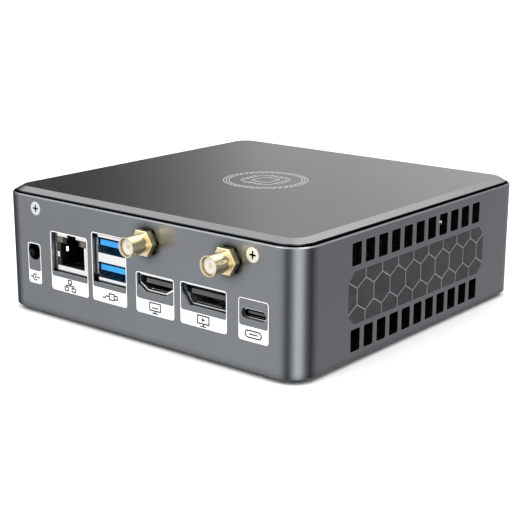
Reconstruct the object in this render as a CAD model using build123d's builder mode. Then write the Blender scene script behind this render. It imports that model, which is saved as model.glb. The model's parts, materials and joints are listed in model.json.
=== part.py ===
from build123d import *
from math import cos, radians, tan
import os

os.makedirs("parts", exist_ok=True)

# A small desktop computer. +Z is up, -Y faces the connector panel, +Y is the front with the power button.
# The origin is the centre of the base cover's underside. All sizes are in millimetres.

# ---------------------------------------------------------------- case
width = 128.0
depth = 128.0
band_height = 39.7
corner_radius = 8.8
wall = 2.2
edge_chamfer = 0.35

side_x = width / 2
rear_y = -depth / 2
front_y = depth / 2
inner_rear_y = rear_y + wall
inner_front_y = front_y - wall

# The lid stands in a rebate of the band, and leaves a shadow groove round its skirt.
rim = 0.6
lid_seat_z = band_height - 1.3
lid_inset = 1.55
lid_skirt = 1.6
lid_bevel_z = band_height + 0.7
lid_top_z = band_height + 1.9
lid_top_inset = 3.8
lid_plate = 1.6
lid_rib_gap = 0.15
lid_rib_depth = 1.3

# Base cover, held by screws in the four corner posts of the band.
cover_thickness = 2.0
cover_gap = 0.2
post_radius = corner_radius - wall / 2
post_x = width / 2 - corner_radius
post_y = depth / 2 - corner_radius
post_spots = [(x, y) for x in (-post_x, post_x) for y in (-post_y, post_y)]
thread_gap = 0.05
m3_radius = 1.5
m3_head = 2.8
m3_head_height = 1.4
board_screw_head = 2.5
board_screw_head_height = 1.6
foot_radius = 6.0
foot_height = 1.5
foot_recess = 0.5
foot_inset = 18.0
foot_x = width / 2 - foot_inset
foot_y = depth / 2 - foot_inset
foot_spots = [(x, y) for x in (-foot_x, foot_x) for y in (-foot_y, foot_y)]
mount_spacing = 75.0
mount_hole_radius = 2.0
mount_boss_radius = 3.6
mount_boss_height = 3.0

# Main board.
board_top = 15.85
board_thickness = 1.6
board_bottom = board_top - board_thickness
board_gap = 1.6
board_x = width / 2 - wall - board_gap
board_y = depth / 2 - wall - board_gap

# Side vents and the honeycomb inlay between their two rows.
vent_count = 11
vent_pitch = 7.02
vent_width = 4.9
vent_height = 7.1
vent_corner = 0.5
vent_centre_y = -0.95
vent_edge_gap = 2.85
inlay_half_length = 40.05
inlay_low_z = 11.4
inlay_high_z = 28.0
inlay_cut_y = 3.3
inlay_cut_z = 3.0
inlay_thickness = 0.8
inlay_gap = 0.05


def level(z):
    """Horizontal plane at height z."""
    return Plane.XY.offset(z)


def across_depth(y):
    """Upright plane at this y, facing the connector panel's side; its own axes read as X and Z."""
    return Plane.XZ.offset(-y)


def across_width(x):
    """Upright plane at this x, facing +X; its own axes read as Y and Z."""
    return Plane.YZ.offset(x)


# ---------------------------------------------------------------- connector panel
# Each port has a centre across the panel, the size of its cut-out, and the depth of its face
# behind the panel's outer face.
port_clearance = 0.25
port_cut_low_z = board_top - port_clearance

dc_x = -48.45
dc_z = board_top + 4.8
dc_hole_radius = 2.95
dc_body_width = 8.2
dc_body_height = 11.0
dc_body_depth = 14.0
dc_bore_radius = 2.9
dc_bore_depth = 10.0
dc_pin_radius = 1.0
dc_root_radius = 1.3
dc_pin_recess = 1.4

lan_x = -31.1
lan_cut_width = 16.5
lan_cut_height = 13.4
lan_recess = 1.2
lan_depth = 21.3
lan_width = lan_cut_width - 2 * port_clearance
lan_height = lan_cut_height - 2 * port_clearance

usb_x = -12.35
usb_cut_width = 14.9
usb_cut_height = 16.0
usb_recess = 1.2
usb_depth = 17.5
usb_width = usb_cut_width - 2 * port_clearance
usb_height = usb_cut_height - 2 * port_clearance
usb_mouth_width = 12.4
usb_mouth_height = 5.2
usb_mouth_low = 1.15
usb_mouth_pitch = 8.2
usb_tongue_width = 11.4
usb_tongue_height = 1.85
usb_tongue_drop = 0.85
usb_tongue_recess = 0.7
usb_notch_low = 2.1
usb_notch_high = 1.25
usb_notch_depth = 1.0
usb_contact_pitch = 2.3
usb_contact_width = 1.0
usb_contact_length = 8.0
usb_contact_thickness = 0.15
usb_contact_setback = 1.2

video_a_x = 8.0
video_a_width = 15.6
video_a_low = board_top + 0.65
video_a_high = board_top + 6.35
video_a_cut_x = 3.4
video_a_cut_z = 2.1
video_a_recess = 0.8
video_a_depth = 11.5

video_b_x = 27.9
video_b_width = 18.0
video_b_low = board_top - 0.05
video_b_high = board_top + 6.65
video_b_cut_x = 3.2
video_b_cut_z = 4.2
video_b_recess = 1.2
video_b_depth = 12.5

shell_sheet = 0.4
corner_step = 0.5

usbc_x = 47.45
usbc_z = board_top + 1.9
usbc_cut_width = 9.3
usbc_cut_height = 3.3
usbc_recess = 0.9
usbc_depth = 8.0
usbc_clearance = 0.15
usbc_sheet = 0.3

# Antenna connectors.
antenna_xs = (4.8, 38.1)
antenna_z = band_height - 7.0
antenna_radius = 3.175
antenna_neck_radius = 2.9
antenna_hole_radius = 3.05
antenna_bore_radius = 2.85
antenna_bore_depth = 5.0
antenna_neck_bore_radius = 2.3
antenna_cup_depth = 1.0
antenna_reach = 9.2
washer_thickness = 0.6
washer_radius = 3.9
nut_thickness = 2.2
nut_flats = 8.0
antenna_flange_radius = 4.2
antenna_flange_thickness = 1.2
antenna_tail_radius = 1.6
antenna_tail_length = 4.0
contact_radius = 0.65

# Panel screws, which hold the lid by its lugs.
panel_screw_x = 47.0
panel_screw_z = band_height - 4.0
panel_screw_radius = 1.25
panel_screw_head = 2.3
panel_screw_head_height = 1.1
panel_screw_length = 6.0
lug_width = 7.0
lug_thickness = 4.5
lug_drop = 3.4

# ---------------------------------------------------------------- front
button_x = 46.0
button_radius = 4.0
button_clearance = 0.12
button_flange_radius = 5.0
button_board_gap = 0.3
button_z = board_top + button_flange_radius + button_board_gap
button_flange = 1.3
button_stand_off = 0.1
button_reach = 0.6
button_stem_radius = 1.5
button_stem = 1.6
button_travel = 0.4
plunger_radius = 1.7
plunger_clearance = 0.08
plunger_length = 1.4
plunger_reach = 0.7
switch_size = 7.0
switch_depth = 3.6
pipe_x = 36.5
pipe_radius = 1.0
pipe_clearance = 0.1
pipe_length = 6.0
front_usb_xs = (18.0, -2.0)
front_usb_cut_width = 14.6
front_usb_cut_height = 7.1
front_usb_depth = 13.0
front_usb_recess = 3.2
audio_x = -20.0
audio_z = board_top + 3.3
audio_collar_radius = 3.0
audio_bore_radius = 1.8
audio_bore_depth = 12.0
audio_body_width = 6.6
audio_body_depth = 12.5


def corner_cut_outline(x, width_x, low, high, left_cut, right_cut, cut_z, inset=0.0):
    """Outline of a socket whose lower corners are cut, drawn inside its cut-out by the inset.

    The left corner is always cut. A right corner that isn't gets only a small step.
    """
    left, right = x - width_x / 2 + inset, x + width_x / 2 - inset
    bottom, top = low + inset, high - inset
    return [
        (left, top),
        (right, top),
        (right, bottom + (cut_z if right_cut else corner_step)),
        (right - (right_cut if right_cut else corner_step), bottom),
        (left + left_cut, bottom),
        (left, bottom + cut_z),
    ]


def inlay_outline(inset=0.0):
    """Long plate with its four corners cut, drawn in Y and Z."""
    half = inlay_half_length - inset
    low, high = inlay_low_z + inset, inlay_high_z - inset
    return [
        (-half, low + inlay_cut_z),
        (-half + inlay_cut_y, low),
        (half - inlay_cut_y, low),
        (half, low + inlay_cut_z),
        (half, high - inlay_cut_z),
        (half - inlay_cut_y, high),
        (-half + inlay_cut_y, high),
        (-half, high - inlay_cut_z),
    ]


def countersunk_screw(head_radius, head_height, thread_radius, length):
    """Adds a flat-head screw with a cross recess at each current location, its head flush at z = 0."""
    flush = (Align.CENTER, Align.CENTER, Align.MAX)
    recess_depth = head_height * 0.75
    Cylinder(thread_radius, length, align=flush)
    Cone(thread_radius, head_radius, head_height, align=flush)
    Box(head_radius * 1.05, head_radius * 0.26, recess_depth, align=flush, mode=Mode.SUBTRACT)
    Box(head_radius * 0.26, head_radius * 1.05, recess_depth, align=flush, mode=Mode.SUBTRACT)


def pan_screw(head_radius, head_height, thread_radius, length):
    """Adds a cylindrical-head screw at each current location, its head standing on z = 0."""
    Cylinder(thread_radius, length, align=(Align.CENTER, Align.CENTER, Align.MAX))
    Cylinder(head_radius, head_height, align=(Align.CENTER, Align.CENTER, Align.MIN))


vent_low_row_z = vent_edge_gap + vent_height / 2
vent_high_row_z = band_height - vent_edge_gap - vent_height / 2
lug_inner_y = inner_rear_y + lid_rib_gap
hook_x = 40.0
hook_width = 10.0
hook_rail = 2.0
hook_rail_z = band_height - 5.0
hook_gap = 0.2
hook_sheet = 1.4

with BuildPart() as body_frame:
    with BuildSketch():
        RectangleRounded(width, depth, corner_radius)
    extrude(amount=band_height)
    chamfer(body_frame.faces().filter_by(Axis.Z).edges(), edge_chamfer)
    with BuildSketch():
        RectangleRounded(width - 2 * wall, depth - 2 * wall, corner_radius - wall)
    extrude(amount=band_height, mode=Mode.SUBTRACT)
    with BuildSketch(level(lid_seat_z)):
        RectangleRounded(width - 2 * rim, depth - 2 * rim, corner_radius - rim)
    extrude(amount=band_height - lid_seat_z, mode=Mode.SUBTRACT)
    # Corner posts: the base cover hangs under them and the main board lies on them.
    with BuildSketch(level(cover_thickness)):
        with Locations(*post_spots):
            Circle(post_radius)
            Circle(m3_radius + thread_gap, mode=Mode.SUBTRACT)
    extrude(amount=board_bottom - cover_thickness)
    # Rails on the front wall, for the lid's hooks.
    with BuildSketch(level(hook_rail_z)):
        with Locations(*[(x, inner_front_y - hook_rail / 2) for x in (-hook_x, hook_x)]):
            Rectangle(hook_width, hook_rail)
    extrude(amount=hook_sheet)
    # Vents through both side walls.
    with BuildSketch(across_width(-side_x)):
        with Locations((vent_centre_y, vent_low_row_z), (vent_centre_y, vent_high_row_z)):
            with GridLocations(vent_pitch, 1, vent_count, 1):
                RectangleRounded(vent_width, vent_height, vent_corner)
    extrude(amount=width, mode=Mode.SUBTRACT)
    # Pockets for the honeycomb inlays.
    for side in (-1, 1):
        with BuildSketch(across_width(side * side_x)):
            Polygon(*inlay_outline(), align=None)
        extrude(amount=-side * inlay_thickness, mode=Mode.SUBTRACT)
    # Cut-outs of the connector panel.
    with BuildSketch(across_depth(rear_y)):
        with Locations((dc_x, dc_z)):
            Circle(dc_hole_radius)
        with Locations((lan_x, port_cut_low_z + lan_cut_height / 2)):
            Rectangle(lan_cut_width, lan_cut_height)
        with Locations((usb_x, port_cut_low_z + usb_cut_height / 2)):
            Rectangle(usb_cut_width, usb_cut_height)
        Polygon(
            *corner_cut_outline(
                video_a_x, video_a_width, video_a_low, video_a_high,
                video_a_cut_x, video_a_cut_x, video_a_cut_z,
            ),
            align=None,
        )
        Polygon(
            *corner_cut_outline(
                video_b_x, video_b_width, video_b_low, video_b_high,
                video_b_cut_x, 0.0, video_b_cut_z,
            ),
            align=None,
        )
        with Locations((usbc_x, usbc_z)):
            SlotOverall(usbc_cut_width, usbc_cut_height)
        with Locations(*[(x, antenna_z) for x in antenna_xs]):
            Circle(antenna_hole_radius)
    extrude(amount=-wall, mode=Mode.SUBTRACT)
    with Locations(*[Plane((x, rear_y, panel_screw_z), (1, 0, 0), (0, -1, 0))
                     for x in (-panel_screw_x, panel_screw_x)]):
        CounterSinkHole(
            panel_screw_radius + thread_gap, panel_screw_head + thread_gap, depth=wall + 0.01
        )
    # Cut-outs of the front wall.
    with BuildSketch(across_depth(front_y)):
        with Locations((button_x, button_z)):
            Circle(button_radius + button_clearance)
        with Locations((pipe_x, button_z)):
            Circle(pipe_radius + pipe_clearance)
        with Locations(*[(x, board_top + front_usb_cut_height / 2) for x in front_usb_xs]):
            Rectangle(front_usb_cut_width, front_usb_cut_height)
        with Locations((audio_x, audio_z)):
            Circle(audio_collar_radius + port_clearance)
    extrude(amount=wall, mode=Mode.SUBTRACT)
body_frame.part.label = "body_frame"
export_step(body_frame.part, "parts/body_frame.step")

# ---------------------------------------------------------------- lid and base
lid_width = width - 2 * lid_inset
lid_depth = depth - 2 * lid_inset
rib_inset = wall + lid_rib_gap
with BuildPart() as top_cover:
    with BuildSketch(level(lid_seat_z)):
        RectangleRounded(lid_width, lid_depth, corner_radius - lid_inset)
    extrude(amount=lid_bevel_z - lid_seat_z)
    with BuildSketch(level(lid_bevel_z)):
        RectangleRounded(lid_width, lid_depth, corner_radius - lid_inset)
    with BuildSketch(level(lid_top_z)):
        RectangleRounded(width - 2 * lid_top_inset, depth - 2 * lid_top_inset, corner_radius - lid_top_inset)
    loft()
    # Rib that drops inside the band and centres the lid.
    with BuildSketch(level(lid_seat_z - lid_rib_depth)):
        RectangleRounded(width - 2 * rib_inset, depth - 2 * rib_inset, corner_radius - rib_inset)
    extrude(amount=lid_rib_depth)
    hollow_inset = lid_inset + lid_skirt
    with BuildSketch(level(lid_seat_z - lid_rib_depth)):
        RectangleRounded(width - 2 * hollow_inset, depth - 2 * hollow_inset, corner_radius - hollow_inset)
    extrude(amount=lid_top_z - lid_plate - lid_seat_z + lid_rib_depth, mode=Mode.SUBTRACT)
    # Threaded lugs for the two panel screws.
    with BuildSketch(level(panel_screw_z - lug_drop)):
        with Locations(*[(x, lug_inner_y + lug_thickness / 2) for x in (-panel_screw_x, panel_screw_x)]):
            Rectangle(lug_width, lug_thickness)
    extrude(amount=lid_top_z - lid_plate - panel_screw_z + lug_drop)
    with BuildSketch(across_depth(lug_inner_y)):
        with Locations((-panel_screw_x, panel_screw_z), (panel_screw_x, panel_screw_z)):
            Circle(panel_screw_radius + thread_gap)
    extrude(amount=-lug_thickness, mode=Mode.SUBTRACT)
    # Hooks that reach under the rails of the front wall.
    hook_back_y = inner_front_y - hook_rail - hook_gap - hook_sheet
    with BuildSketch(level(hook_rail_z - hook_gap - hook_sheet)):
        with Locations(*[(x, hook_back_y + hook_sheet / 2) for x in (-hook_x, hook_x)]):
            Rectangle(hook_width, hook_sheet)
    extrude(amount=lid_top_z - lid_plate - hook_rail_z + hook_gap + hook_sheet)
    with BuildSketch(level(hook_rail_z - hook_gap - hook_sheet)):
        with Locations(*[(x, inner_front_y - hook_gap - hook_rail / 2) for x in (-hook_x, hook_x)]):
            Rectangle(hook_width, hook_rail)
    extrude(amount=hook_sheet)
top_cover.part.label = "top_cover"
export_step(top_cover.part, "parts/top_cover.step")

cover_inset = wall + cover_gap
grille_count = 15
grille_pitch = 4.2
grille_slot = 15.0
grille_slot_width = 2.0
grille_rows = 2
grille_row_pitch = 19.0
mount_spots = [(x, y) for x in (-mount_spacing / 2, mount_spacing / 2)
               for y in (-mount_spacing / 2, mount_spacing / 2)]
with BuildPart() as bottom_cover:
    with BuildSketch():
        RectangleRounded(width - 2 * cover_inset, depth - 2 * cover_inset, corner_radius - cover_inset)
    extrude(amount=cover_thickness)
    with BuildSketch(level(cover_thickness)):
        with Locations(*mount_spots):
            Circle(mount_boss_radius)
    extrude(amount=mount_boss_height)
    with BuildSketch():
        with Locations(*mount_spots):
            Circle(mount_hole_radius)
        with GridLocations(grille_pitch, grille_row_pitch, grille_count, grille_rows):
            SlotOverall(grille_slot, grille_slot_width, rotation=90)
    extrude(amount=cover_thickness + mount_boss_height, mode=Mode.SUBTRACT)
    with BuildSketch():
        with Locations(*foot_spots):
            Circle(foot_radius + thread_gap)
    extrude(amount=foot_recess, mode=Mode.SUBTRACT)
    with Locations(*[Plane((x, y, 0), (1, 0, 0), (0, 0, -1)) for x, y in post_spots]):
        CounterSinkHole(m3_radius + thread_gap, m3_head + thread_gap, depth=cover_thickness + 0.01)
bottom_cover.part.label = "bottom_cover"
export_step(bottom_cover.part, "parts/bottom_cover.step")

with BuildPart() as rubber_feet:
    with BuildSketch(level(-foot_height)):
        with Locations(*foot_spots):
            Circle(foot_radius)
    extrude(amount=foot_height + foot_recess)
    chamfer(rubber_feet.faces().group_by(Axis.Z)[0].edges(), 0.4)
rubber_feet.part.label = "rubber_feet"
export_step(rubber_feet.part, "parts/rubber_feet.step")

with BuildPart() as side_inlays:
    for side in (-1, 1):
        with BuildSketch(across_width(side * side_x)):
            Polygon(*inlay_outline(inlay_gap), align=None)
        extrude(amount=-side * inlay_thickness)
side_inlays.part.label = "side_inlays"
export_step(side_inlays.part, "parts/side_inlays.step")

with BuildPart() as panel_screws:
    with Locations(*[Plane((x, rear_y, panel_screw_z), (1, 0, 0), (0, -1, 0))
                     for x in (-panel_screw_x, panel_screw_x)]):
        countersunk_screw(panel_screw_head, panel_screw_head_height, panel_screw_radius, panel_screw_length)
panel_screws.part.label = "panel_screws"
export_step(panel_screws.part, "parts/panel_screws.step")

base_screw_length = 8.0
with BuildPart() as base_screws:
    with Locations(*[Plane((x, y, 0), (1, 0, 0), (0, 0, -1)) for x, y in post_spots]):
        countersunk_screw(m3_head, m3_head_height, m3_radius, base_screw_length)
base_screws.part.label = "base_screws"
export_step(base_screws.part, "parts/base_screws.step")

# ---------------------------------------------------------------- main board and cooling
board_corner = 4.5
board_screw_length = 4.5
sink_centre = (0.0, 12.0)
sink_base = (90.0, 66.0)
sink_base_thickness = 2.0
sink_fin_length = 76.0
sink_fin_thickness = 0.8
sink_fin_count = 22
sink_spread = (83.0, 54.0)
processor_size = (46.0, 24.0)
processor_thickness = 1.2
die_size = (16.0, 12.0)
die_thickness = 0.9
sink_low_z = board_top + processor_thickness + die_thickness
fan_height = 10.0
fan_size = 70.0
fan_hole_spread = 62.0
fan_lid_gap = 3.4
fan_high_z = lid_top_z - lid_plate - fan_lid_gap
fan_low_z = fan_high_z - fan_height
sink_screw_head = 2.6
sink_screw_head_height = 1.8
sink_screw_radius = 1.25
standoff_radius = 2.6
sink_spots = [(sink_centre[0] + i * sink_spread[0] / 2, sink_centre[1] + j * sink_spread[1] / 2)
              for i in (-1, 1) for j in (-1, 1)]
fan_spots = [(sink_centre[0] + i * fan_hole_spread / 2, sink_centre[1] + j * fan_hole_spread / 2)
             for i in (-1, 1) for j in (-1, 1)]

with BuildPart() as motherboard:
    with BuildSketch(level(board_bottom)):
        RectangleRounded(2 * board_x, 2 * board_y, board_corner)
        with Locations(*post_spots):
            Circle(m3_radius + thread_gap, mode=Mode.SUBTRACT)
        with Locations(*sink_spots):
            Circle(sink_screw_radius + thread_gap, mode=Mode.SUBTRACT)
    extrude(amount=board_thickness)
motherboard.part.label = "motherboard"
export_step(motherboard.part, "parts/motherboard.step")

with BuildPart() as board_screws:
    with Locations(*[(x, y, board_top) for x, y in post_spots]):
        pan_screw(board_screw_head, board_screw_head_height, m3_radius, board_screw_length)
board_screws.part.label = "board_screws"
export_step(board_screws.part, "parts/board_screws.step")

with BuildPart() as processor:
    with BuildSketch(level(board_top)):
        with Locations(sink_centre):
            Rectangle(*processor_size)
    extrude(amount=processor_thickness)
    with BuildSketch(level(board_top + processor_thickness)):
        with Locations(sink_centre):
            Rectangle(*die_size)
    extrude(amount=die_thickness)
processor.part.label = "processor"
export_step(processor.part, "parts/processor.step")

fan_screw_radius = 1.5
fan_screw_bite = 5.0
fan_screw_head = 2.7
fan_screw_head_height = 1.6
with BuildPart() as heat_sink:
    with BuildSketch(level(sink_low_z)):
        with Locations(sink_centre):
            Rectangle(*sink_base)
        with Locations(*sink_spots):
            Circle(sink_screw_radius + thread_gap, mode=Mode.SUBTRACT)
    extrude(amount=sink_base_thickness)
    fin_span = sink_base[1] - sink_fin_thickness
    with BuildSketch(level(sink_low_z + sink_base_thickness)):
        with Locations(sink_centre):
            with GridLocations(1, fin_span / (sink_fin_count - 1), 1, sink_fin_count):
                Rectangle(sink_fin_length, sink_fin_thickness)
    extrude(amount=fan_low_z - sink_low_z - sink_base_thickness)
    with BuildSketch(level(fan_low_z - fan_screw_bite)):
        with Locations(*fan_spots):
            Circle(fan_screw_radius + thread_gap)
    extrude(amount=fan_screw_bite, mode=Mode.SUBTRACT)
heat_sink.part.label = "heat_sink"
export_step(heat_sink.part, "parts/heat_sink.step")

with BuildPart() as sink_screws:
    with Locations(*[(x, y, sink_low_z + sink_base_thickness) for x, y in sink_spots]):
        pan_screw(sink_screw_head, sink_screw_head_height, sink_screw_radius,
                  sink_base_thickness + sink_low_z - board_bottom)
sink_screws.part.label = "sink_screws"
export_step(sink_screws.part, "parts/sink_screws.step")

fan_duct_radius = 33.0
fan_blade_radius = 32.2
fan_hub_radius = 14.0
fan_motor_radius = 13.0
fan_floor = 1.4
fan_strut_width = 3.0
fan_bearing_radius = 3.0
fan_bearing_height = 5.0
shaft_radius = 1.0
shaft_clearance = 0.03
blade_count = 9
blade_thickness = 1.1
blade_angle = 38.0
blade_root_sink = 0.5
blade_height_share = 0.85
rotor_gap = 0.5
with BuildPart() as fan_frame:
    with BuildSketch(level(fan_low_z)):
        with Locations(sink_centre):
            RectangleRounded(fan_size, fan_size, 3.0)
            Circle(fan_duct_radius, mode=Mode.SUBTRACT)
        with Locations(*fan_spots):
            Circle(fan_screw_radius + thread_gap, mode=Mode.SUBTRACT)
    extrude(amount=fan_height)
    with BuildSketch(level(fan_low_z)):
        with Locations(sink_centre):
            Circle(fan_motor_radius)
            with PolarLocations((fan_duct_radius + fan_motor_radius) / 2, 4, 45):
                Rectangle(fan_duct_radius - fan_motor_radius + 2, fan_strut_width)
    extrude(amount=fan_floor)
    with BuildSketch(level(fan_low_z + fan_floor)):
        with Locations(sink_centre):
            Circle(fan_bearing_radius)
            Circle(shaft_radius + shaft_clearance, mode=Mode.SUBTRACT)
    extrude(amount=fan_bearing_height)
fan_frame.part.label = "fan_frame"
export_step(fan_frame.part, "parts/fan_frame.step")

rotor_low_z = fan_low_z + fan_floor + rotor_gap
rotor_high_z = fan_high_z - rotor_gap
rotor_cap = 1.2
hub_wall = 1.0
with BuildPart() as fan_rotor:
    with BuildSketch(level(rotor_low_z)):
        with Locations(sink_centre):
            Circle(fan_hub_radius)
    extrude(amount=rotor_high_z - rotor_low_z)
    with BuildSketch(level(rotor_low_z)):
        with Locations(sink_centre):
            Circle(fan_hub_radius - hub_wall)
    extrude(amount=rotor_high_z - rotor_cap - rotor_low_z, mode=Mode.SUBTRACT)
    with BuildSketch(level(rotor_low_z)):
        with Locations(sink_centre):
            Circle(shaft_radius)
    extrude(amount=rotor_high_z - rotor_low_z)
    # Pitched blades, each a leaning slab that runs from the hub to the tip circle.
    blade_height = rotor_high_z - rotor_low_z
    blade_span = fan_blade_radius - fan_hub_radius
    blade_middle = (rotor_low_z + rotor_high_z) / 2
    blade_slope_length = blade_height_share * blade_height / cos(radians(blade_angle))
    with Locations((sink_centre[0], sink_centre[1], blade_middle)):
        with PolarLocations((fan_blade_radius + fan_hub_radius) / 2 - blade_root_sink, blade_count):
            Box(blade_span, blade_slope_length, blade_thickness,
                rotation=(90 - blade_angle, 0, 0))
fan_rotor.part.label = "fan_rotor"
export_step(fan_rotor.part, "parts/fan_rotor.step")

with BuildPart() as fan_screws:
    with Locations(*[(x, y, fan_high_z) for x, y in fan_spots]):
        pan_screw(fan_screw_head, fan_screw_head_height, fan_screw_radius, fan_height + fan_screw_bite)
fan_screws.part.label = "fan_screws"
export_step(fan_screws.part, "parts/fan_screws.step")

# ---------------------------------------------------------------- connector panel's sockets
dc_face_y = inner_rear_y + 0.2
dc_spring_height = 1.6
dc_spring_reach = 0.7
dc_spring_length = 6.5
dc_spring_start = 0.8
dc_spring_ramp = 0.5
dc_tail = 2.0
with BuildPart() as dc_jack_body:
    with BuildSketch(across_depth(dc_face_y)):
        with Locations((dc_x, board_top + dc_body_height / 2)):
            Rectangle(dc_body_width, dc_body_height)
    extrude(amount=-dc_body_depth)
    with BuildSketch(across_depth(dc_face_y)):
        with Locations((dc_x, dc_z)):
            Circle(dc_bore_radius)
    extrude(amount=-dc_bore_depth, mode=Mode.SUBTRACT)
    with BuildSketch(across_depth(dc_face_y + dc_bore_depth)):
        with Locations((dc_x, dc_z)):
            Circle(dc_root_radius + thread_gap)
    extrude(amount=-dc_tail, mode=Mode.SUBTRACT)
    # Slot in the bore's wall for the side spring.
    with BuildSketch(across_depth(dc_face_y)):
        with Locations((dc_x + dc_body_width / 4, dc_z)):
            Rectangle(dc_body_width / 2, dc_spring_height + 2 * thread_gap)
    extrude(amount=-dc_spring_start - dc_spring_length - thread_gap, mode=Mode.SUBTRACT)
dc_jack_body.part.label = "dc_jack_body"
export_step(dc_jack_body.part, "parts/dc_jack_body.step")

with BuildPart() as dc_jack_pin:
    with BuildSketch(across_depth(dc_face_y + dc_pin_recess)):
        with Locations((dc_x, dc_z)):
            Circle(dc_pin_radius)
    extrude(amount=-(dc_bore_depth - dc_pin_recess))
    with BuildSketch(across_depth(dc_face_y + dc_bore_depth)):
        with Locations((dc_x, dc_z)):
            Circle(dc_root_radius)
    extrude(amount=-dc_tail)
dc_jack_pin.part.label = "dc_jack_pin"
export_step(dc_jack_pin.part, "parts/dc_jack_pin.step")

with BuildPart() as dc_jack_spring:
    with BuildSketch(across_depth(dc_face_y + dc_spring_start)):
        with Locations((dc_x + dc_body_width / 2, dc_z)):
            Rectangle(dc_body_width / 2 - dc_bore_radius + dc_spring_reach, dc_spring_height,
                      align=(Align.MAX, Align.CENTER))
    extrude(amount=-dc_spring_length)
    chamfer(dc_jack_spring.edges().filter_by(Axis.Z).sort_by(Axis.X)[:2], dc_spring_ramp)
dc_jack_spring.part.label = "dc_jack_spring"
export_step(dc_jack_spring.part, "parts/dc_jack_spring.step")

# Network jack: a folded shield over a black insert, a lamp in each upper corner.
lan_face_y = rear_y + lan_recess
lan_low_z = board_top
lan_rim_left = 0.8
lan_rim_right = 2.1
lan_rim_low = 1.8
lan_rim_high = 1.15
lan_tab_low = 4.7
lan_tab_height = 1.8
lan_cavity_width = 11.8
lan_cavity_height = 7.6
lan_cavity_lift = 0.1
lan_cavity_depth = 15.0
lan_step_width = 6.2
lan_step_height = 1.7
lan_latch_width = 4.2
lan_lamp = (3.2, 2.0)
lan_lamp_depth = 6.0
lan_lamp_gap = 0.1
lan_lamp_spots = [
    (lan_x + side * (lan_width / 2 - shell_sheet - lan_lamp_gap - lan_lamp[0] / 2),
     lan_low_z + lan_height - lan_rim_high - lan_lamp_gap - lan_lamp[1] / 2)
    for side in (-1, 1)
]
with BuildPart() as lan_jack_shield:
    with BuildSketch(across_depth(lan_face_y)):
        with Locations((lan_x, lan_low_z)):
            Rectangle(lan_width, lan_height, align=(Align.CENTER, Align.MIN))
    extrude(amount=-lan_depth)
    with BuildSketch(across_depth(lan_face_y + shell_sheet)):
        with Locations((lan_x, lan_low_z + shell_sheet)):
            Rectangle(lan_width - 2 * shell_sheet, lan_height - 2 * shell_sheet,
                      align=(Align.CENTER, Align.MIN))
    extrude(amount=-lan_depth, mode=Mode.SUBTRACT)
    with BuildSketch(across_depth(lan_face_y)):
        with Locations((lan_x - lan_width / 2 + lan_rim_left, lan_low_z + lan_rim_low)):
            Rectangle(lan_width - lan_rim_left - lan_rim_right, lan_height - lan_rim_low - lan_rim_high,
                      align=Align.MIN)
        with Locations((lan_x, lan_low_z + lan_rim_low)):
            Rectangle(lan_latch_width, lan_height, align=(Align.CENTER, Align.MIN))
        with Locations(*lan_lamp_spots):
            Rectangle(lan_lamp[0] + 2 * lan_lamp_gap, lan_lamp[1] + 2 * lan_lamp_gap)
    extrude(amount=-shell_sheet, mode=Mode.SUBTRACT)
    # Small tab of the rim beside the plug's cavity.
    with BuildSketch(across_depth(lan_face_y)):
        with Locations((lan_x - lan_width / 2, lan_low_z + lan_tab_low)):
            Rectangle((lan_width - lan_cavity_width) / 2, lan_tab_height, align=Align.MIN)
    extrude(amount=-shell_sheet)
lan_jack_shield.part.label = "lan_jack_shield"
export_step(lan_jack_shield.part, "parts/lan_jack_shield.step")

insert_gap = 0.05
lan_cavity_low_z = lan_low_z + lan_rim_low + lan_cavity_lift
with BuildPart() as lan_jack_insert:
    with BuildSketch(across_depth(lan_face_y + shell_sheet + insert_gap)):
        with Locations((lan_x, lan_low_z + shell_sheet + insert_gap)):
            Rectangle(lan_width - 2 * (shell_sheet + insert_gap), lan_height - 2 * (shell_sheet + insert_gap),
                      align=(Align.CENTER, Align.MIN))
    extrude(amount=-(lan_depth - shell_sheet - insert_gap))
    # Plug cavity, narrower upwards in two steps for the latch.
    with BuildSketch(across_depth(lan_face_y)):
        with Locations((lan_x, lan_cavity_low_z)):
            Rectangle(lan_cavity_width, lan_cavity_height, align=(Align.CENTER, Align.MIN))
            Rectangle(lan_step_width, lan_cavity_height + lan_step_height, align=(Align.CENTER, Align.MIN))
        with Locations((lan_x, lan_low_z + lan_height - shell_sheet - insert_gap)):
            Rectangle(lan_latch_width, lan_height / 2, align=(Align.CENTER, Align.MAX))
    extrude(amount=-lan_cavity_depth, mode=Mode.SUBTRACT)
    with BuildSketch(across_depth(lan_face_y)):
        with Locations(*lan_lamp_spots):
            Rectangle(lan_lamp[0] + 2 * insert_gap, lan_lamp[1] + 2 * insert_gap)
    extrude(amount=-lan_lamp_depth - insert_gap, mode=Mode.SUBTRACT)
lan_jack_insert.part.label = "lan_jack_insert"
export_step(lan_jack_insert.part, "parts/lan_jack_insert.step")

with BuildPart() as lan_jack_lamps:
    with BuildSketch(across_depth(lan_face_y + 0.1)):
        with Locations(*lan_lamp_spots):
            Rectangle(*lan_lamp)
    extrude(amount=-(lan_lamp_depth - 0.1))
lan_jack_lamps.part.label = "lan_jack_lamps"
export_step(lan_jack_lamps.part, "parts/lan_jack_lamps.step")

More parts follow.
